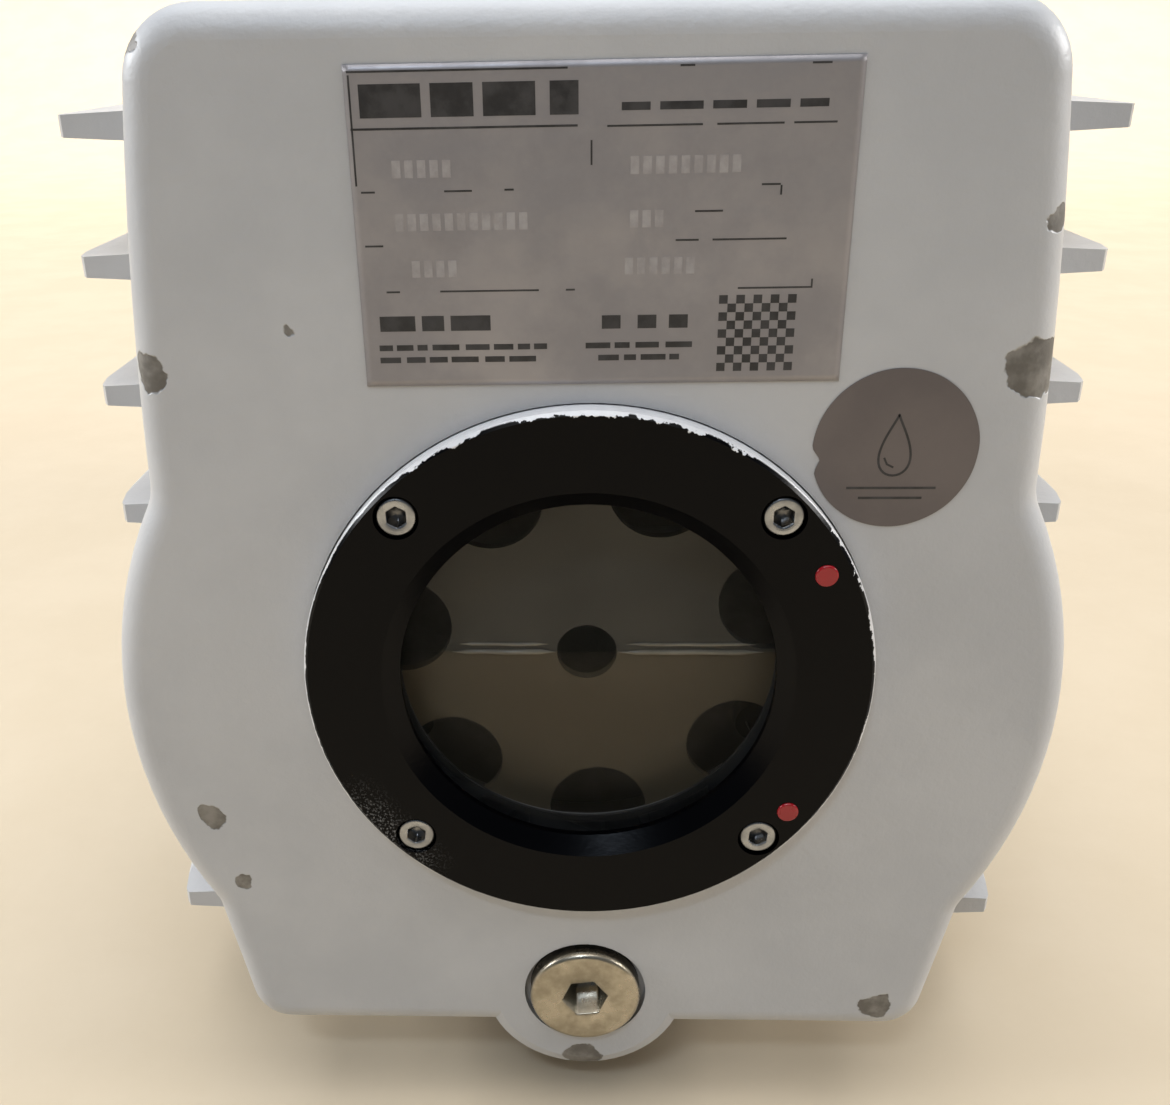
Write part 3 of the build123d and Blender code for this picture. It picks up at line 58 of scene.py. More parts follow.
# ---------------------------------------------------------------- camera, floor and light
def make_camera():
    """A hand-held view of the case's front from a little above."""
    focal_share = 1.0245  # focal length over picture width
    pitch, yaw, roll = (math.radians(a) for a in (24.97, -1.82, -0.71))
    forward = Vector((math.sin(yaw) * math.cos(pitch), math.cos(yaw) * math.cos(pitch), -math.sin(pitch)))
    level = Vector((math.cos(yaw), -math.sin(yaw), 0))
    upward = level.cross(forward)
    right = math.cos(roll) * level + math.sin(roll) * upward
    up = -math.sin(roll) * level + math.cos(roll) * upward
    data = bpy.data.cameras.new("camera")
    data.sensor_width = 36
    data.lens = 36 * focal_share
    data.clip_start = 0.01
    data.shift_x = 0.0423
    data.shift_y = 0.0343
    camera = bpy.data.objects.new("camera", data)
    bpy.context.scene.collection.objects.link(camera)
    turned = Matrix((right, up, -forward)).transposed().to_4x4()
    place = Vector((-4.5 * MM, FACE_Y - 270.1 * MM, WINDOW_Z + 149.8 * MM))
    camera.matrix_world = Matrix.Translation(place) @ turned
    bpy.context.scene.camera = camera


def area_light(name, place, target, size, watts, colour):
    data = bpy.data.lights.new(name, "AREA")
    data.shape = "RECTANGLE"
    data.size, data.size_y = size
    data.energy = watts
    data.color = colour
    light = bpy.data.objects.new(name, data)
    light.location = place
    light.rotation_euler = (Vector(target) - Vector(place)).to_track_quat("-Z", "Y").to_euler()
    bpy.context.scene.collection.objects.link(light)


# ---------------------------------------------------------------- node helpers
def put(tree, kind, inputs=None, **settings):
    item = tree.nodes.new(kind)
    for key, value in settings.items():
        setattr(item, key, value)
    for key, value in (inputs or {}).items():
        socket = item.inputs[key]
        if isinstance(value, bpy.types.NodeSocket):
            tree.links.new(value, socket)
        else:
            socket.default_value = value
    return item


def calc(tree, operation, a, b=0.0, clamp=False):
    return put(tree, "ShaderNodeMath", {0: a, 1: b}, operation=operation, use_clamp=clamp).outputs[0]


def times(tree, a, b):
    return calc(tree, "MULTIPLY", a, b)


def plus(tree, a, b):
    return calc(tree, "ADD", a, b)


def minus(tree, a, b):
    return calc(tree, "SUBTRACT", a, b)


def hypotenuse(tree, a, b):
    return calc(tree, "SQRT", plus(tree, times(tree, a, a), times(tree, b, b)))


def ramp(tree, value, low, high):
    """0 below low, 1 above high, smooth between."""
    item = put(tree, "ShaderNodeMapRange", {"Value": value, "From Min": low, "From Max": high})
    item.interpolation_type = "SMOOTHSTEP"
    return item.outputs["Result"]


def blend_colour(tree, share, low, high):
    item = put(tree, "ShaderNodeMix", {"Factor": share}, data_type="RGBA")
    for socket, value in ((item.inputs[6], low), (item.inputs[7], high)):
        if isinstance(value, bpy.types.NodeSocket):
            tree.links.new(value, socket)
        else:
            socket.default_value = (*value, 1)
    return item.outputs[2]


def blend_value(tree, share, low, high):
    item = put(tree, "ShaderNodeMix", {0: share, 2: low, 3: high}, data_type="FLOAT")
    return item.outputs[0]


def grain(tree, scale, detail=3.0, rough=0.55, stretch=(1, 1, 1)):
    where = put(tree, "ShaderNodeTexCoord").outputs["Object"]
    stretched = put(tree, "ShaderNodeMapping", {"Vector": where, "Scale": stretch})
    inputs = {"Vector": stretched.outputs[0], "Scale": scale, "Detail": detail, "Roughness": rough}
    return put(tree, "ShaderNodeTexNoise", inputs).outputs["Fac"]


def position(tree):
    """X, Y and Z in the row frame, as three sockets."""
    where = put(tree, "ShaderNodeTexCoord").outputs["Object"]
    return put(tree, "ShaderNodeSeparateXYZ", {0: where}).outputs


def distance_to(tree, x, z, at):
    """Distance from the line along Y through (x, z), in metres."""
    return hypotenuse(tree, minus(tree, at[0], x), minus(tree, at[2], z))


def start_material(name):
    made = bpy.data.materials.new(name)
    made.use_nodes = True
    tree = made.node_tree
    shader = tree.nodes["Principled BSDF"]
    return made, tree, shader


def connect(tree, shader, name, value):
    if isinstance(value, bpy.types.NodeSocket):
        tree.links.new(value, shader.inputs[name])
    else:
        shader.inputs[name].default_value = (*value, 1) if isinstance(value, tuple) else value


# Distance within which nearby surfaces darken a corner as painted shade.
PAINTED_SHADE_REACH = 9 * MM


def add_painted_shade(tree, tone, strength, painted_shade):
    """Paints shade over a tone: a dark colour laid in corners, crevices and sockets by how enclosed they
    are, broken up by a grain.
    """
    unshaded_above, full_below = 0.8, 0.35  # shares of open surroundings
    openness = put(tree, "ShaderNodeAmbientOcclusion", {"Distance": PAINTED_SHADE_REACH}, samples=4).outputs["AO"]
    share = ramp(tree, openness, unshaded_above, full_below)
    share = calc(tree, "MULTIPLY", share, blend_value(tree, grain(tree, 90, 4, 0.65), 0.45, 1.3), True)
    return blend_colour(tree, times(tree, share, strength), tone, painted_shade)


def bump(tree, shader, height, strength, distance):
    made = put(tree, "ShaderNodeBump", {"Height": height, "Strength": strength, "Distance": distance})
    tree.links.new(made.outputs[0], shader.inputs["Normal"])


def plain_finish(name, colour, shade, roughness, metallic=0.0, mottle=40, relief=(600, 0.2, 0.0002),
                 stretch=(1, 1, 1), coat=0.0, painted_shade=0.0):
    """A finish with uneven colour, uneven gloss and a fine relief; colour and shade are its two tones, and
    its corners can be darkened as painted shade.
    """
    made, tree, shader = start_material(name)
    patches = ramp(tree, grain(tree, mottle, 5, 0.6), 0.35, 0.65)
    fine = grain(tree, relief[0], 3, 0.6, stretch)
    share = plus(tree, times(tree, patches, 0.7), times(tree, fine, 0.3))
    tone = blend_colour(tree, share, colour, shade)
    # Painted shade: the tone is darkened in corners, crevices and sockets.
    if painted_shade:
        tone = add_painted_shade(tree, tone, painted_shade, (0.09, 0.082, 0.07))
    connect(tree, shader, "Base Color", tone)
    uneven = times(tree, minus(tree, share, 0.5), 0.25)
    connect(tree, shader, "Roughness", calc(tree, "ADD", uneven, roughness, True))
    connect(tree, shader, "Metallic", metallic)
    connect(tree, shader, "Coat Weight", coat)
    bump(tree, shader, fine, relief[1], relief[2])
    return made


# ---------------------------------------------------------------- special finishes
# Paint chips of the case: (x, z) from the window's centre and radius, in mm.
CHIPS = (
    (-97.5, 150.0, 3.6), (-101.0, 79.5, 4.6), (-68.5, 89.0, 1.6), (-102.5, -44.5, 4.4), (-97.0, -66.0, 2.2),
    (101.5, 112.0, 3.4), (101.5, 80.0, 7.5), (101.0, 153.0, 4.6), (86.0, -110.5, 5.0), (0.0, -131.5, 5.5),
)


CHIP_DEPTH_SHARE = 0.4  # how fast a chip closes with depth behind the case's face


def chip_cover(tree, at):
    """1 inside the paint chips, 0 outside, with ragged edges."""
    ragged = times(tree, minus(tree, grain(tree, 130, 3, 0.55), 0.5), 9 * MM)
    depth = times(tree, minus(tree, at[1], FACE_Y), CHIP_DEPTH_SHARE)
    cover = None
    for x, z, radius in CHIPS:
        flat = distance_to(tree, x * MM, WINDOW_Z + z * MM, at)
        away = plus(tree, hypotenuse(tree, flat, depth), ragged)
        here = ramp(tree, away, radius * MM, (radius - 0.5) * MM)
        cover = here if cover is None else calc(tree, "MAXIMUM", cover, here)
    return cover


def case_paint():
    """Light grey paint with orange peel, painted shade in its corners and chips at its edges."""
    made, tree, shader = start_material("case_paint")
    at = position(tree)
    pebble = grain(tree, 430, 3, 0.6)
    swell = grain(tree, 55, 3, 0.5)
    mottle = ramp(tree, grain(tree, 16, 4, 0.6), 0.35, 0.65)
    paint = blend_colour(tree, mottle, (0.475, 0.482, 0.50), (0.525, 0.53, 0.545))
    # Painted shade: the paint is darkened in its corners and crevices.
    paint = add_painted_shade(tree, paint, 0.6, (0.20, 0.185, 0.16))
    chipped = chip_cover(tree, at)
    blotches = ramp(tree, grain(tree, 190, 3), 0.4, 0.7)
    primer = blend_colour(tree, blotches, (0.16, 0.152, 0.142), (0.27, 0.262, 0.25))
    connect(tree, shader, "Base Color", blend_colour(tree, chipped, paint, primer))
    connect(tree, shader, "Roughness", blend_value(tree, chipped, 0.42, 0.55))
    connect(tree, shader, "Metallic", times(tree, chipped, 0.6))
    height = plus(tree, times(tree, pebble, 0.5), times(tree, swell, 0.7))
    height = minus(tree, height, times(tree, chipped, 0.9))
    bump(tree, shader, height, 0.6, 0.5 * MM)
    return made


def worn_rim(tree, at, radius):
    """1 on the ring's light side and where its edge has lost the enamel, mostly at the top right."""
    edge_r, side_r = 71.6 * MM, 71.9 * MM
    coarse = minus(tree, grain(tree, 75, 4, 0.7), 0.5)
    fine = minus(tree, grain(tree, 420, 3, 0.7), 0.5)
    edge = plus(tree, times(tree, coarse, 7 * MM), times(tree, fine, 2.5 * MM))
    towards_top_right = plus(tree, at[2], times(tree, at[0], 0.6))
    high = ramp(tree, towards_top_right, WINDOW_Z, WINDOW_Z + 75 * MM)
    edge = times(tree, edge, plus(tree, times(tree, high, 0.75), 0.25))
    worn = ramp(tree, plus(tree, radius, edge), edge_r, edge_r + 0.2 * MM)
    return calc(tree, "MAXIMUM", worn, ramp(tree, radius, edge_r, side_r))


def overspray(tree, at, radius):
    """Fine light specks on the enamel at the lower left."""
    spot_x, spot_z, spot_r = -52 * MM, WINDOW_Z - 44 * MM, 22 * MM
    speckle = ramp(tree, grain(tree, 1500, 3, 0.8), 0.54, 0.62)
    specks = times(tree, speckle, ramp(tree, distance_to(tree, spot_x, spot_z, at), spot_r, 2 * MM))
    return times(tree, specks, ramp(tree, radius, 60 * MM, 71 * MM))


def black_enamel():
    """Black enamel on the ring's face, ragged and worn at its outer edge, with light paint on its side."""
    made, tree, shader = start_material("black_enamel")
    at = position(tree)
    radius = distance_to(tree, WINDOW.x, WINDOW_Z, at)
    bare = worn_rim(tree, at, radius)
    black = blend_colour(tree, grain(tree, 60, 4), (0.0002, 0.0002, 0.0005), (0.0008, 0.0008, 0.0014))
    light = blend_colour(tree, grain(tree, 300, 4), (0.66, 0.66, 0.68), (0.86, 0.86, 0.87))
    painted = blend_colour(tree, overspray(tree, at, radius), black, (0.20, 0.20, 0.20))
    gloss = blend_value(tree, grain(tree, 40, 4), 0.16, 0.3)
    connect(tree, shader, "Base Color", blend_colour(tree, bare, painted, light))
    connect(tree, shader, "Metallic", times(tree, bare, 0.15))
    connect(tree, shader, "Roughness", blend_value(tree, bare, gloss, 0.4))
    shader.inputs["Specular IOR Level"].default_value = 0.11
    height = minus(tree, grain(tree, 700, 3), times(tree, bare, 1.2))
    bump(tree, shader, height, 0.15, 0.2 * MM)
    return made


def clear_glass():
    """Sight glass, mostly transparent, with a faint film that makes its gloss uneven."""
    made, tree, shader = start_material("clear_glass")
    tint = blend_colour(tree, grain(tree, 20, 3), (0.010, 0.011, 0.010), (0.022, 0.022, 0.018))
    connect(tree, shader, "Base Color", tint)
    film = ramp(tree, grain(tree, 28, 5, 0.6), 0.4, 0.75)
    connect(tree, shader, "Roughness", blend_value(tree, film, 0.03, 0.12))
    shader.inputs["Alpha"].default_value = 0.12
    shader.inputs["Specular IOR Level"].default_value = 0.3
    shader.inputs["IOR"].default_value = 1.5
    return made


def dark_plate():
    """The plate behind the glass: dull above the oil level, warmer where the oil wets it."""
    made, tree, shader = start_material("dark_plate")
    at = position(tree)
    wet = ramp(tree, at[2], WINDOW_Z + 0.5 * MM, WINDOW_Z - 0.5 * MM)
    patches = ramp(tree, grain(tree, 25, 4, 0.6), 0.35, 0.65)
    dry = blend_colour(tree, patches, (0.070, 0.065, 0.053), (0.057, 0.053, 0.043))
    oiled = blend_colour(tree, patches, (0.165, 0.130, 0.080), (0.140, 0.108, 0.065))
    connect(tree, shader, "Base Color", blend_colour(tree, wet, dry, oiled))
    connect(tree, shader, "Roughness", blend_value(tree, patches, 0.5, 0.6))
    bump(tree, shader, grain(tree, 900, 3), 0.03, 0.1 * MM)
    return made


def oil_film():
    """Thin amber oil, nearly clear."""
    made, tree, shader = start_material("oil_film")
    amber = blend_colour(tree, grain(tree, 18, 3), (0.060, 0.045, 0.024), (0.085, 0.062, 0.034))
    connect(tree, shader, "Base Color", amber)
    connect(tree, shader, "Roughness", times(tree, grain(tree, 30, 2), 0.2))
    shader.inputs["Alpha"].default_value = 0.07
    return made


# colour and shade are a finish's two tones; relief is (scale, strength, depth in metres). Where given, the
# strength of painted shade in corners, crevices and sockets comes last.
FINISHES = {
    "motor_paint": dict(colour=(0.235, 0.255, 0.27), shade=(0.205, 0.22, 0.235), roughness=0.42, mottle=14,
                        relief=(420, 0.25, 0.0003), painted_shade=0.7),
    "cowl_paint": dict(colour=(0.060, 0.064, 0.068), shade=(0.052, 0.055, 0.059), roughness=0.5, mottle=12,
                       relief=(1200, 0.35, 0.0002)),
    "zinc_steel": dict(colour=(0.42, 0.43, 0.44), shade=(0.27, 0.275, 0.285), roughness=0.33, metallic=1.0,
                       mottle=160, painted_shade=0.8),
    "nickel_steel": dict(colour=(0.52, 0.47, 0.38), shade=(0.30, 0.265, 0.20), roughness=0.34, metallic=1.0,
                         mottle=120, relief=(300, 0.25, 0.0002), painted_shade=0.9),
    "black_steel": dict(colour=(0.05, 0.05, 0.055), shade=(0.03, 0.03, 0.032), roughness=0.4, metallic=0.9),
    "ground_steel": dict(colour=(0.56, 0.56, 0.57), shade=(0.42, 0.42, 0.43), roughness=0.3, metallic=1.0,
                         relief=(900, 0.2, 0.0001), stretch=(1, 0.05, 1)),
    "spring_steel": dict(colour=(0.45, 0.45, 0.47), shade=(0.33, 0.33, 0.35), roughness=0.32, metallic=1.0),
    "grey_iron": dict(colour=(0.20, 0.20, 0.20), shade=(0.13, 0.125, 0.12), roughness=0.5, metallic=0.8,
                      relief=(700, 0.35, 0.0003)),
    "turned_aluminium": dict(colour=(0.74, 0.74, 0.75), shade=(0.60, 0.60, 0.61), roughness=0.32,
                             metallic=1.0, relief=(900, 0.15, 0.0001), stretch=(0.05, 0.05, 1)),
    "bush_bronze": dict(colour=(0.55, 0.36, 0.17), shade=(0.38, 0.24, 0.11), roughness=0.42, metallic=1.0),
    "winding_copper": dict(colour=(0.50, 0.22, 0.09), shade=(0.30, 0.12, 0.05), roughness=0.4, metallic=0.8,
                           relief=(900, 0.5, 0.0004)),
    # Painted highlight: the oil's surface lines get a tone far lighter than the oil, in place of the light
    # they catch.
    "meniscus": dict(colour=(0.42, 0.38, 0.30), shade=(0.26, 0.225, 0.165), roughness=0.12, mottle=60,
                     relief=(200, 0.1, 0.0001), coat=0.6),
    "seal_rubber": dict(colour=(0.018, 0.018, 0.018), shade=(0.03, 0.03, 0.03), roughness=0.6),
    "foot_rubber": dict(colour=(0.022, 0.022, 0.022), shade=(0.04, 0.04, 0.038), roughness=0.75,
                        relief=(900, 0.4, 0.0003)),
    "red_elastomer": dict(colour=(0.42, 0.03, 0.02), shade=(0.30, 0.02, 0.015), roughness=0.45),
    "red_plastic": dict(colour=(0.36, 0.005, 0.012), shade=(0.25, 0.004, 0.009), roughness=0.3, coat=0.15),
    "black_plastic": dict(colour=(0.018, 0.018, 0.019), shade=(0.032, 0.032, 0.034), roughness=0.5,
                          relief=(1400, 0.4, 0.0002)),
    "gland_nylon": dict(colour=(0.07, 0.07, 0.075), shade=(0.05, 0.05, 0.054), roughness=0.5),
    "vane_composite": dict(colour=(0.15, 0.10, 0.06), shade=(0.08, 0.055, 0.035), roughness=0.5,
                           relief=(900, 0.4, 0.0002), stretch=(1, 0.1, 1)),
    "gasket_fibre": dict(colour=(0.10, 0.095, 0.085), shade=(0.06, 0.057, 0.05), roughness=0.8),
    "filter_fleece": dict(colour=(0.62, 0.60, 0.50), shade=(0.45, 0.40, 0.28), roughness=0.9,
                          relief=(1500, 0.6, 0.0005)),
    "plate_foil": dict(colour=(0.365, 0.35, 0.365), shade=(0.285, 0.272, 0.283), roughness=0.46,
                       metallic=0.55, mottle=38, relief=(180, 0.35, 0.0003)),
    "grey_sticker": dict(colour=(0.150, 0.131, 0.131), shade=(0.128, 0.111, 0.111), roughness=0.38,
                         metallic=0.3, mottle=30, relief=(900, 0.1, 0.0001)),
    "ink": dict(colour=(0.014, 0.014, 0.016), shade=(0.05, 0.048, 0.05), roughness=0.5, mottle=220),
    "faded_ink": dict(colour=(0.30, 0.28, 0.28), shade=(0.40, 0.38, 0.38), roughness=0.5, mottle=220),
}


def make_finishes():
    made = {name: plain_finish(name, **values) for name, values in FINISHES.items()}
    made["case_paint"] = case_paint()
    made["black_enamel"] = black_enamel()
    made["clear_glass"] = clear_glass()
    made["oil_film"] = oil_film()
    made["dark_plate"] = dark_plate()
    return made


# ---------------------------------------------------------------- mesh helpers
def piece(name, bm, finish, body="pump", smooth=True, replaced=()):
    """Turns a bmesh in row-frame metres into a finished piece of a body."""
    bmesh.ops.recalc_face_normals(bm, faces=bm.faces)
    mesh = bpy.data.meshes.new(name)
    bm.to_mesh(mesh)
    bm.free()
    for polygon in mesh.polygons:
        polygon.use_smooth = smooth
    made = bpy.data.objects.new(name, mesh)
    bpy.context.scene.collection.objects.link(made)
    mesh.materials.append(finishes[finish])
    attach(made, body)
    if replaced:
        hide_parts(*replaced)
    return made


def close_band(bm, one, two):
    """Faces between two loops of as many vertices."""
    for n in range(len(one)):
        m = (n + 1) % len(one)
        bm.faces.new((one[n], one[m], two[m], two[n]))


# ---------------------------------------------------------------- nameplate
PLATE_LOW, PLATE_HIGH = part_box("nameplate")
PLATE_X = (PLATE_LOW.x + PLATE_HIGH.x) / 2
PLATE_Z = (PLATE_LOW.z + PLATE_HIGH.z) / 2
PLATE_W, PLATE_H = 108, 68  # mm
PLATE_TILT = 0.5  # degrees
FOIL_STEPS = (72, 46)
FOIL_LIFT, FOIL_CALM_RIM = 0.30, 6  # mm off the case, and the width over which the wrinkles fade
INK_PROUD, INK_SUNK = 0.035 * MM, 0.05 * MM


def plate_point(u, v):
    """A point of the plate from its lower left corner, in mm, as row-frame x and z."""
    c, s = math.cos(math.radians(PLATE_TILT)), math.sin(math.radians(PLATE_TILT))
    a, b = (u - PLATE_W / 2) * MM, (v - PLATE_H / 2) * MM
    return PLATE_X + c * a - s * b, PLATE_Z + s * a + c * b


def foil_height(u, v):
    """How far the wrinkled foil stands off the case, in metres."""
    broad = noise.noise(Vector((u * 0.06, v * 0.06, 2.7))) * 0.16
    small = noise.noise(Vector((u * 0.22, v * 0.22, 9.1))) * 0.05
    dents = broad + small
    rim = min(u, v, PLATE_W - u, PLATE_H - v)
    return (FOIL_LIFT + dents * min(1.0, rim / FOIL_CALM_RIM)) * MM


def make_nameplate():
    """A slightly wrinkled foil, closed at its edges and back."""
    bm = bmesh.new()
    nu, nv = FOIL_STEPS
    rows = []
    for j in range(nv + 1):
        row = []
        for i in range(nu + 1):
            u, v = PLATE_W * i / nu, PLATE_H * j / nv
            x, z = plate_point(u, v)
            row.append(bm.verts.new((x, FACE_Y - foil_height(u, v), z)))
        rows.append(row)
    for j in range(nv):
        for i in range(nu):
            bm.faces.new((rows[j][i], rows[j][i + 1], rows[j + 1][i + 1], rows[j + 1][i]))
    border = [e for e in bm.edges if e.is_boundary]
    rim = bmesh.ops.extrude_edge_only(bm, edges=border)
    low = [v for v in rim["geom"] if isinstance(v, bmesh.types.BMVert)]
    for v in low:
        v.co.y = FACE_Y - 0.02 * MM
    bmesh.ops.contextual_create(bm, geom=[e for e in bm.edges if e.is_boundary])
    piece("nameplate_foil", bm, "plate_foil", replaced=("nameplate",))


def printed(bm, u, v, width, height):
    """A printed mark that follows the foil, cut into short lengths."""
    parts = max(1, round(width / 4))
    for n in range(parts):
        u0, u1 = u + width * n / parts, u + width * (n + 1) / parts
        corners = [(u0, v), (u1, v), (u1, v + height), (u0, v + height)]
        front, back = [], []
        for a, b in corners:
            x, z = plate_point(a, b)
            y = FACE_Y - foil_height(a, b)
            front.append(bm.verts.new((x, y - INK_PROUD, z)))
            back.append(bm.verts.new((x, y + INK_SUNK, z)))
        bm.faces.new(front)
        bm.faces.new(back)
        close_band(bm, front, back)


# Marks as (u, v, width, height) from the plate's lower left corner, in mm.
RULES = (
    (0.8, 66.4, 46, 0.4), (70, 66.4, 3, 0.4), (97, 66.4, 4, 0.4), (0.8, 55.2, 48, 0.45),
    (55, 55.0, 20, 0.4), (78, 55.0, 14, 0.4), (94, 55.0, 9, 0.4), (0.9, 44, 0.4, 22),
    (2, 42.5, 3, 0.4), (20, 42.5, 6, 0.4), (33, 42.6, 2, 0.4), (88, 42.8, 4, 0.4),
    (74, 37.5, 6, 0.4), (70, 31.5, 5, 0.4), (78, 31.5, 16, 0.4), (2, 31.2, 4, 0.4),
    (6, 21.2, 3, 0.4), (18, 21.2, 22, 0.4), (84, 21.0, 16, 0.4), (46, 21.2, 2, 0.4),
    (51.5, 47.5, 0.4, 5), (92, 42.8, 0.4, -2.0), (100, 21.0, 0.4, 2.0),
)
BARS = (
    (3, 57.6, 13, 6.6), (18, 57.6, 9, 6.6), (29, 57.6, 11, 6.6), (43, 57.6, 6, 6.6),
    (58, 58.2, 6, 1.6), (66, 58.2, 9, 1.6), (77, 58.2, 7, 1.6), (86, 58.2, 7, 1.6), (95, 58.2, 6, 1.6),
    (4, 12.6, 8, 3.4), (13.5, 12.6, 5, 3.4), (20, 12.6, 9, 3.4),
)
BLOCKS = ((54, 12.6, 4.2, 3.0), (62, 12.6, 4.2, 3.0), (69, 12.6, 4.2, 3.0))
SMALL_ROWS = (8.2, 5.4)
GRID_U, GRID_V, GRID_COUNT, GRID_CELL = 80, 2.6, 9, 1.9
# Rows of faded stamps as (u, v, count).
STAMPS = ((9, 45.5, 5), (60, 45.5, 9), (9, 34.5, 11), (60, 34.5, 3), (12, 24.5, 4), (59, 24.5, 6))
STAMP_PITCH, STAMP_W, STAMP_H = 2.7, 1.8, 3.6


def make_print():
    """A neutral form: ruled lines, plain bars in place of words, and a plain grid of squares."""
    dice = random.Random(4)
    bm = bmesh.new()
    for mark in RULES + BARS:
        printed(bm, *mark)
    for v in SMALL_ROWS:
        u = 3.5
        while u < 70:
            width = dice.uniform(2.0, 6.5)
            if u + width < 46 or u > 50:
                printed(bm, u, v, width, 1.3)
            u += width + dice.uniform(0.8, 1.6)
    for mark in BLOCKS:
        printed(bm, *mark)
    for i in range(GRID_COUNT):
        for j in range(GRID_COUNT):
            if (i + j) % 2 == 0:
                printed(bm, GRID_U + i * GRID_CELL, GRID_V + j * GRID_CELL, GRID_CELL, GRID_CELL)
    piece("nameplate_print", bm, "ink", smooth=False)
    bm = bmesh.new()
    for u, v, count in STAMPS:
        for n in range(count):
            printed(bm, u + n * STAMP_PITCH, v, STAMP_W, STAMP_H)
    piece("nameplate_stamps", bm, "faded_ink", smooth=False)


# ---------------------------------------------------------------- round sticker
STICKER_LOW, STICKER_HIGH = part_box("round_sticker")
STICKER_X = (STICKER_LOW.x + STICKER_HIGH.x) / 2
STICKER_Z = (STICKER_LOW.z + STICKER_HIGH.z) / 2
STICKER_R = (STICKER_HIGH.x - STICKER_LOW.x) / 2


def make_sticker():
    """A round sticker, torn a little at its left edge."""
    bm = bmesh.new()
    steps = 120
    outline = []
    for n in range(steps):
        angle = 2 * math.pi * n / steps
        notch = max(0.0, 1 - abs(angle - math.radians(188)) / 0.16)
        radius = STICKER_R * (1 - 0.10 * notch + 0.004 * noise.noise(Vector((angle * 3, 0, 0))))
        outline.append((STICKER_X + radius * math.cos(angle), STICKER_Z + radius * math.sin(angle)))
    front = [bm.verts.new((x, FACE_Y - 0.2 * MM, z)) for x, z in outline]
    back = [bm.verts.new((x, FACE_Y - 0.01 * MM, z)) for x, z in outline]
    bm.faces.new(front)
    bm.faces.new(back)
    close_band(bm, front, back)
    piece("sticker_disc", bm, "grey_sticker", smooth=False, replaced=("round_sticker",))


def stroke(bm, points, width, closed=False):
    """A flat printed line of even width through points on the sticker, in mm from its centre."""
    count = len(points)
    sides = []
    for i, (a, b) in enumerate(points):
        before = points[i - 1] if i or closed else points[i]
        after = points[(i + 1) % count] if i < count - 1 or closed else points[i]
        along = Vector((after[0] - before[0], after[1] - before[1])).normalized()
        across = Vector((-along.y, along.x)) * width / 2
        sides.append(((a + across.x, b + across.y), (a - across.x, b - across.y)))
    rings = []
    for left, right in sides:
        ring = []
        for depth, pair in ((0.19, (left, right)), (0.24, (right, left))):
            for a, b in pair:
                ring.append(bm.verts.new((STICKER_X + a * MM, FACE_Y - depth * MM, STICKER_Z + b * MM)))
        rings.append(ring)
    for i in range(count if closed else count - 1):
        close_band(bm, rings[i], rings[(i + 1) % count])
    if not closed:
        bm.faces.new(rings[0])
        bm.faces.new(rings[-1])


def make_pictogram():
    """A generic oil drop above two level lines."""
    bm = bmesh.new()
    drop = []
    for n in range(40):
        angle = 2 * math.pi * n / 40
        taper = math.sin(angle / 2) ** 1.4
        drop.append((5.2 * math.sin(angle) * taper, 1.0 + 7.4 * math.cos(angle)))
    stroke(bm, drop, 0.55, closed=True)
    stroke(bm, [(-2.4, -2.0), (-1.6, -3.6), (0.0, -4.4)], 0.5)
    stroke(bm, [(-10.5, -9.5), (10.5, -9.5)], 0.6)
    stroke(bm, [(-7.5, -12.0), (7.5, -12.0)], 0.6)
    piece("sticker_pictogram", bm, "ink", smooth=False)


# ---------------------------------------------------------------- oil behind the glass
GLASS_BACK_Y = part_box("sight_glass")[1].y
PLATE_FRONT_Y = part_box("baffle_disc")[0].y
OIL_R = 51.5 * MM
MENISCUS_SPANS = ((-36.0, -8.3), (8.3, 47.0))  # mm, on both sides of the plate's centre hole


def meniscus_rope(bm, x0, x1, y, lift, radius):
    """One rounded edge of the oil's surface, thin at its ends; sizes in mm, but y in metres."""
    sides, steps = 8, 28
    rings = []
    for k in range(steps + 1):
        share = k / steps
        x = x0 + (x1 - x0) * share
        wave = 0.18 * noise.noise(Vector((x * 0.12, lift, 0)))
        r = radius * MM * max(0.12, min(1.0, 7 * share, 7 * (1 - share)))
        turns = [2 * math.pi * n / sides for n in range(sides)]
        centre = WINDOW_Z + (lift + wave) * MM
        rings.append([bm.verts.new((x * MM, y + r * math.cos(a), centre + r * math.sin(a))) for a in turns])
    for one, two in zip(rings, rings[1:]):
        close_band(bm, one, two)
    bm.faces.new(rings[0])
    bm.faces.new(rings[-1])


def make_oil():
    """The lower half of the space behind the glass, with two rounded meniscus lines at mid height, coloured
    light as painted highlights.
    """
    bm = bmesh.new()
    y0, y1 = GLASS_BACK_Y + 1.1 * MM, PLATE_FRONT_Y - 0.1 * MM
    arc = [math.pi + math.pi * n / 48 for n in range(49)]
    outline = [(OIL_R * math.cos(a), WINDOW_Z + OIL_R * math.sin(a)) for a in arc]
    front = [bm.verts.new((x, y0, z)) for x, z in outline]
    back = [bm.verts.new((x, y1, z)) for x, z in outline]
    bm.faces.new(front)
    bm.faces.new(back)
    close_band(bm, front, back)
    piece("oil_filling", bm, "oil_film", smooth=False)
    bm = bmesh.new()
    for x0, x1 in MENISCUS_SPANS:
        meniscus_rope(bm, x0, x1, y1, 0.0, 0.75)
        meniscus_rope(bm, x0 + 2, x1 - 2, y1, 2.3, 0.5)
    # The meniscus lines get a light finish as painted highlights.
    piece("oil_meniscus_highlight", bm, "meniscus")


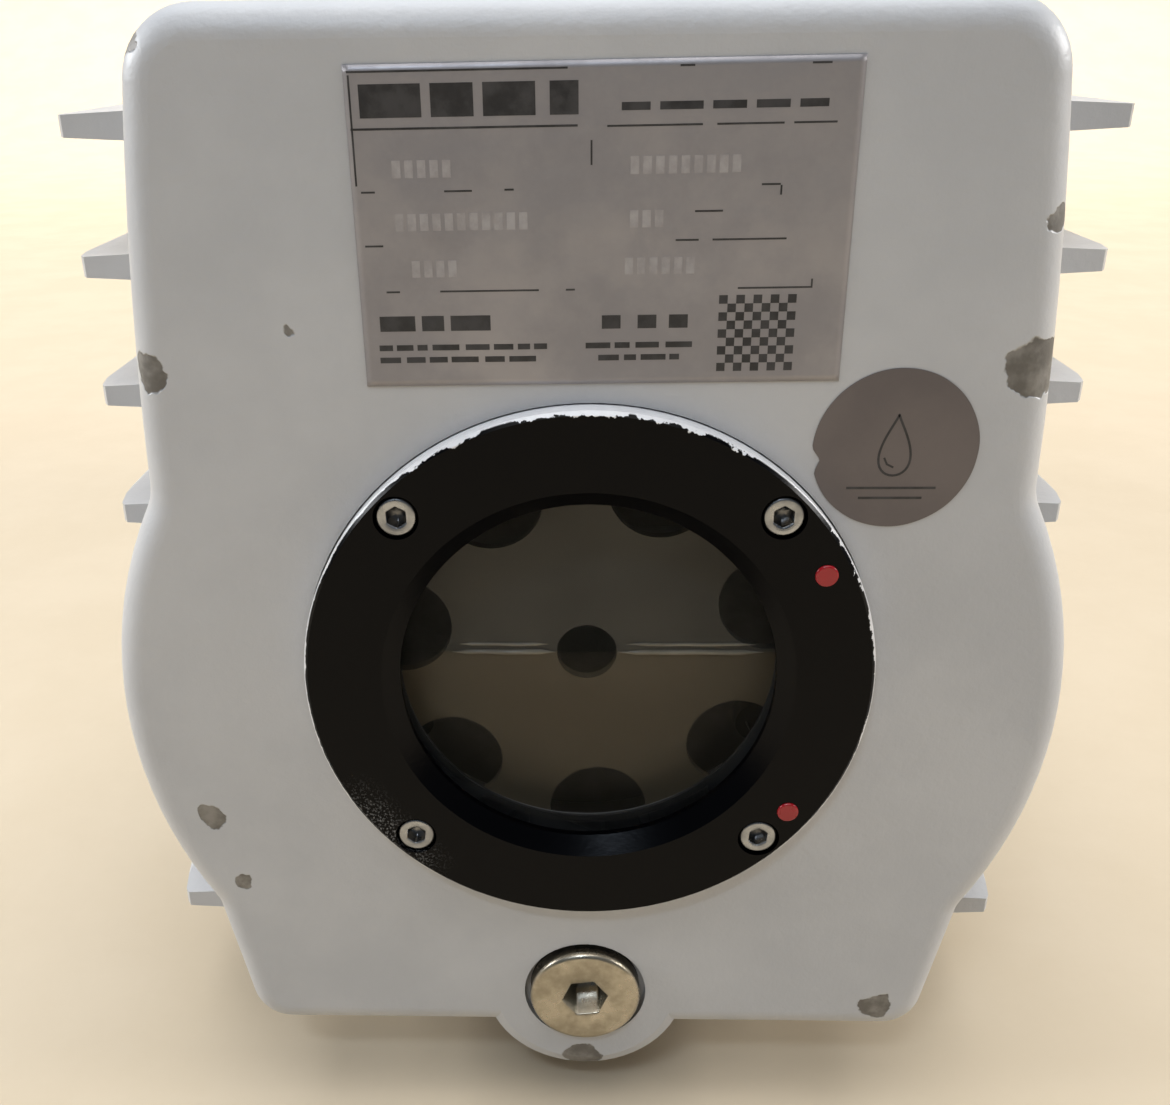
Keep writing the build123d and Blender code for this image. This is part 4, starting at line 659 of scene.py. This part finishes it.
# ---------------------------------------------------------------- ring screws and drain plug
def lathe_with_socket(bm, x, z, profile, hex_r, socket_depth, turn, sides=72, dent=0.0):
    """A head turned about the line along Y through (x, z), with a hexagon socket in its front.

    profile lists (radius, y) from the back of the side to the socket's rim, in metres."""
    rings = []
    for radius, y in profile:
        ring = []
        for n in range(sides):
            angle = 2 * math.pi * n / sides
            spot = Vector((math.cos(angle) * 3 + x * 90, math.sin(angle) * 3, radius * 400))
            off = dent * noise.noise(spot)
            ring.append(bm.verts.new((x + radius * math.cos(angle), y + off, z + radius * math.sin(angle))))
        rings.append(ring)
    front = profile[-1][1]
    for depth, share in ((0.0, 1.0), (0.25 * MM, 0.96), (socket_depth, 0.96)):
        ring = []
        for n in range(sides):
            angle = 2 * math.pi * n / sides
            from_flat = (angle - turn) % (math.pi / 3) - math.pi / 6
            radius = share * hex_r * math.cos(math.pi / 6) / math.cos(from_flat)
            across, up = radius * math.cos(angle), radius * math.sin(angle)
            ring.append(bm.verts.new((x + across, front + depth, z + up)))
        rings.append(ring)
    for one, two in zip(rings, rings[1:]):
        close_band(bm, one, two)
    tip = bm.verts.new((x, front + socket_depth + 0.5 * MM, z))
    for n in range(sides):
        bm.faces.new((rings[-1][n], rings[-1][(n + 1) % sides], tip))
    bm.faces.new(rings[0])


def rounded_head(radius, back, front, round_r, flat_r, steps=8):
    """(radius, y) points of a head whose front edge is rounded, up to a slightly dished face."""
    points = [(radius, back)]
    for k in range(steps + 1):
        angle = math.pi / 2 * k / steps
        across, along = round_r * math.cos(angle), round_r * math.sin(angle)
        points.append((radius - round_r + across, front + round_r - along))
    points.append(((radius - round_r + flat_r) / 2, front))
    points.append((flat_r + 0.35 * MM, front))
    points.append((flat_r, front + 0.12 * MM))
    return points


SCREW_LOW, SCREW_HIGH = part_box("ring_screws")
PLUG_LOW, PLUG_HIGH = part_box("drain_plug")


def make_ring_screws():
    """Four socket screws with rounded heads, each turned to its own angle."""
    head_r, socket_r, socket_depth = 5.0 * MM, 2.85 * MM, 3.0 * MM
    offset_x = (SCREW_HIGH.x - SCREW_LOW.x) / 2 - head_r
    offset_z = (SCREW_HIGH.z - SCREW_LOW.z) / 2 - head_r
    shank_length = 12 * MM
    back, front = SCREW_HIGH.y - shank_length, SCREW_LOW.y
    bm = bmesh.new()
    for index, (sx, sz) in enumerate(((-1, -1), (1, -1), (1, 1), (-1, 1))):
        profile = rounded_head(head_r - 0.02 * MM, back, front, round_r=0.9 * MM, flat_r=3.1 * MM)
        turn = 0.4 + 1.1 * index
        x, z = WINDOW.x + sx * offset_x, WINDOW_Z + sz * offset_z
        lathe_with_socket(bm, x, z, profile, socket_r, socket_depth, turn)
    piece("ring_screw_heads", bm, "zinc_steel", replaced=("ring_screws",))


def make_drain_plug():
    """A scuffed screw plug with a large hexagon socket."""
    socket_r, socket_depth = 6.93 * MM, 10.5 * MM
    x, z = (PLUG_LOW.x + PLUG_HIGH.x) / 2, (PLUG_LOW.z + PLUG_HIGH.z) / 2
    radius = (PLUG_HIGH.x - PLUG_LOW.x) / 2
    bm = bmesh.new()
    thread_r, seat = 13.0 * MM, PLUG_LOW.y + 5 * MM
    profile = [(thread_r - 1 * MM, PLUG_HIGH.y), (thread_r, PLUG_HIGH.y - 1 * MM), (thread_r, seat)]
    profile += rounded_head(radius, seat, PLUG_LOW.y, round_r=1.7 * MM, flat_r=8.2 * MM)
    lathe_with_socket(bm, x, z, profile, socket_r, socket_depth, math.radians(8), sides=120, dent=0.06 * MM)
    piece("drain_plug_head", bm, "nickel_steel", replaced=("drain_plug",))


# ---------------------------------------------------------------- putting it together
def dress_cad():
    """Gives every CAD node the finish of its slot."""
    slots = {s["node"]: s["material_slot"] for s in frame["record"]["subparts"]}
    for name, node in frame["nodes"].items():
        node.data.materials.clear()
        node.data.materials.append(finishes[slots[name]])


def make_stage():
    """Wide pale floor that rises into a backdrop far behind the pump."""
    bm = bmesh.new()
    half_width, front, bend, back, top = 12.0, -12.0, 2.5, 5.0, 5.0
    profile = [(front, 0.0)]
    for n in range(25):
        angle = math.pi / 2 * n / 24
        profile.append((back - bend + bend * math.sin(angle), bend - bend * math.cos(angle)))
    profile.append((back, top))
    rows = [[bm.verts.new((x, y, z)) for y, z in profile] for x in (-half_width, half_width)]
    for i in range(len(profile) - 1):
        bm.faces.new((rows[0][i], rows[0][i + 1], rows[1][i + 1], rows[1][i]))
    mesh = bpy.data.meshes.new("floor")
    bm.to_mesh(mesh)
    bm.free()
    for polygon in mesh.polygons:
        polygon.use_smooth = True
    floor = bpy.data.objects.new("floor", mesh)
    bpy.context.scene.collection.objects.link(floor)
    paper = plain_finish("floor_paper", (0.575, 0.485, 0.36), (0.55, 0.46, 0.335), 0.8, mottle=9,
                         relief=(300, 0.1, 0.0002))
    mesh.materials.append(paper)


def sun_light(name, strength, angle, colour):
    """Even light from straight above."""
    data = bpy.data.lights.new(name, "SUN")
    data.energy = strength
    data.angle = angle
    data.color = colour
    light = bpy.data.objects.new(name, data)
    bpy.context.scene.collection.objects.link(light)


def make_lights():
    """Soft light from above and from both sides, a lit backdrop, and a weak cool light on the front."""
    cool, warm = (0.95, 0.975, 1.0), (1.0, 0.985, 0.965)
    sun_light("sky", 1.7, math.radians(60), warm)
    area_light("overhead", (0.0, 0.5, 2.0), (0.0, 0.3, 0.0), (2.8, 2.2), 30, cool)
    area_light("left_side", (-2.6, 0.0, 1.22), (0.0, 0.0, 0.1), (1.8, 0.5), 60, cool)
    area_light("right_side", (2.6, 0.0, 1.22), (0.0, 0.0, 0.1), (1.8, 0.5), 57, warm)
    area_light("backdrop", (0.0, 2.6, 2.4), (0.0, 5.0, 0.3), (7.0, 0.8), 230, warm)
    area_light("front_high", (-0.35, -1.5, 1.75), (0.0, -0.3, 0.2), (0.42, 0.16), 8.0, (0.72, 0.84, 1.0))


def make_world():
    """A dim cool room."""
    world = bpy.data.worlds.new("studio")
    bpy.context.scene.world = world
    world.use_nodes = True
    world.node_tree.nodes["Background"].inputs["Color"].default_value = (0.70, 0.84, 1.0, 1)
    world.node_tree.nodes["Background"].inputs["Strength"].default_value = 0.115


make_camera()
make_world()
make_lights()
finishes = make_finishes()
dress_cad()
make_nameplate()
make_print()
make_sticker()
make_pictogram()
make_oil()
make_ring_screws()
make_drain_plug()
make_stage()
bpy.context.scene.view_settings.view_transform = "Standard"
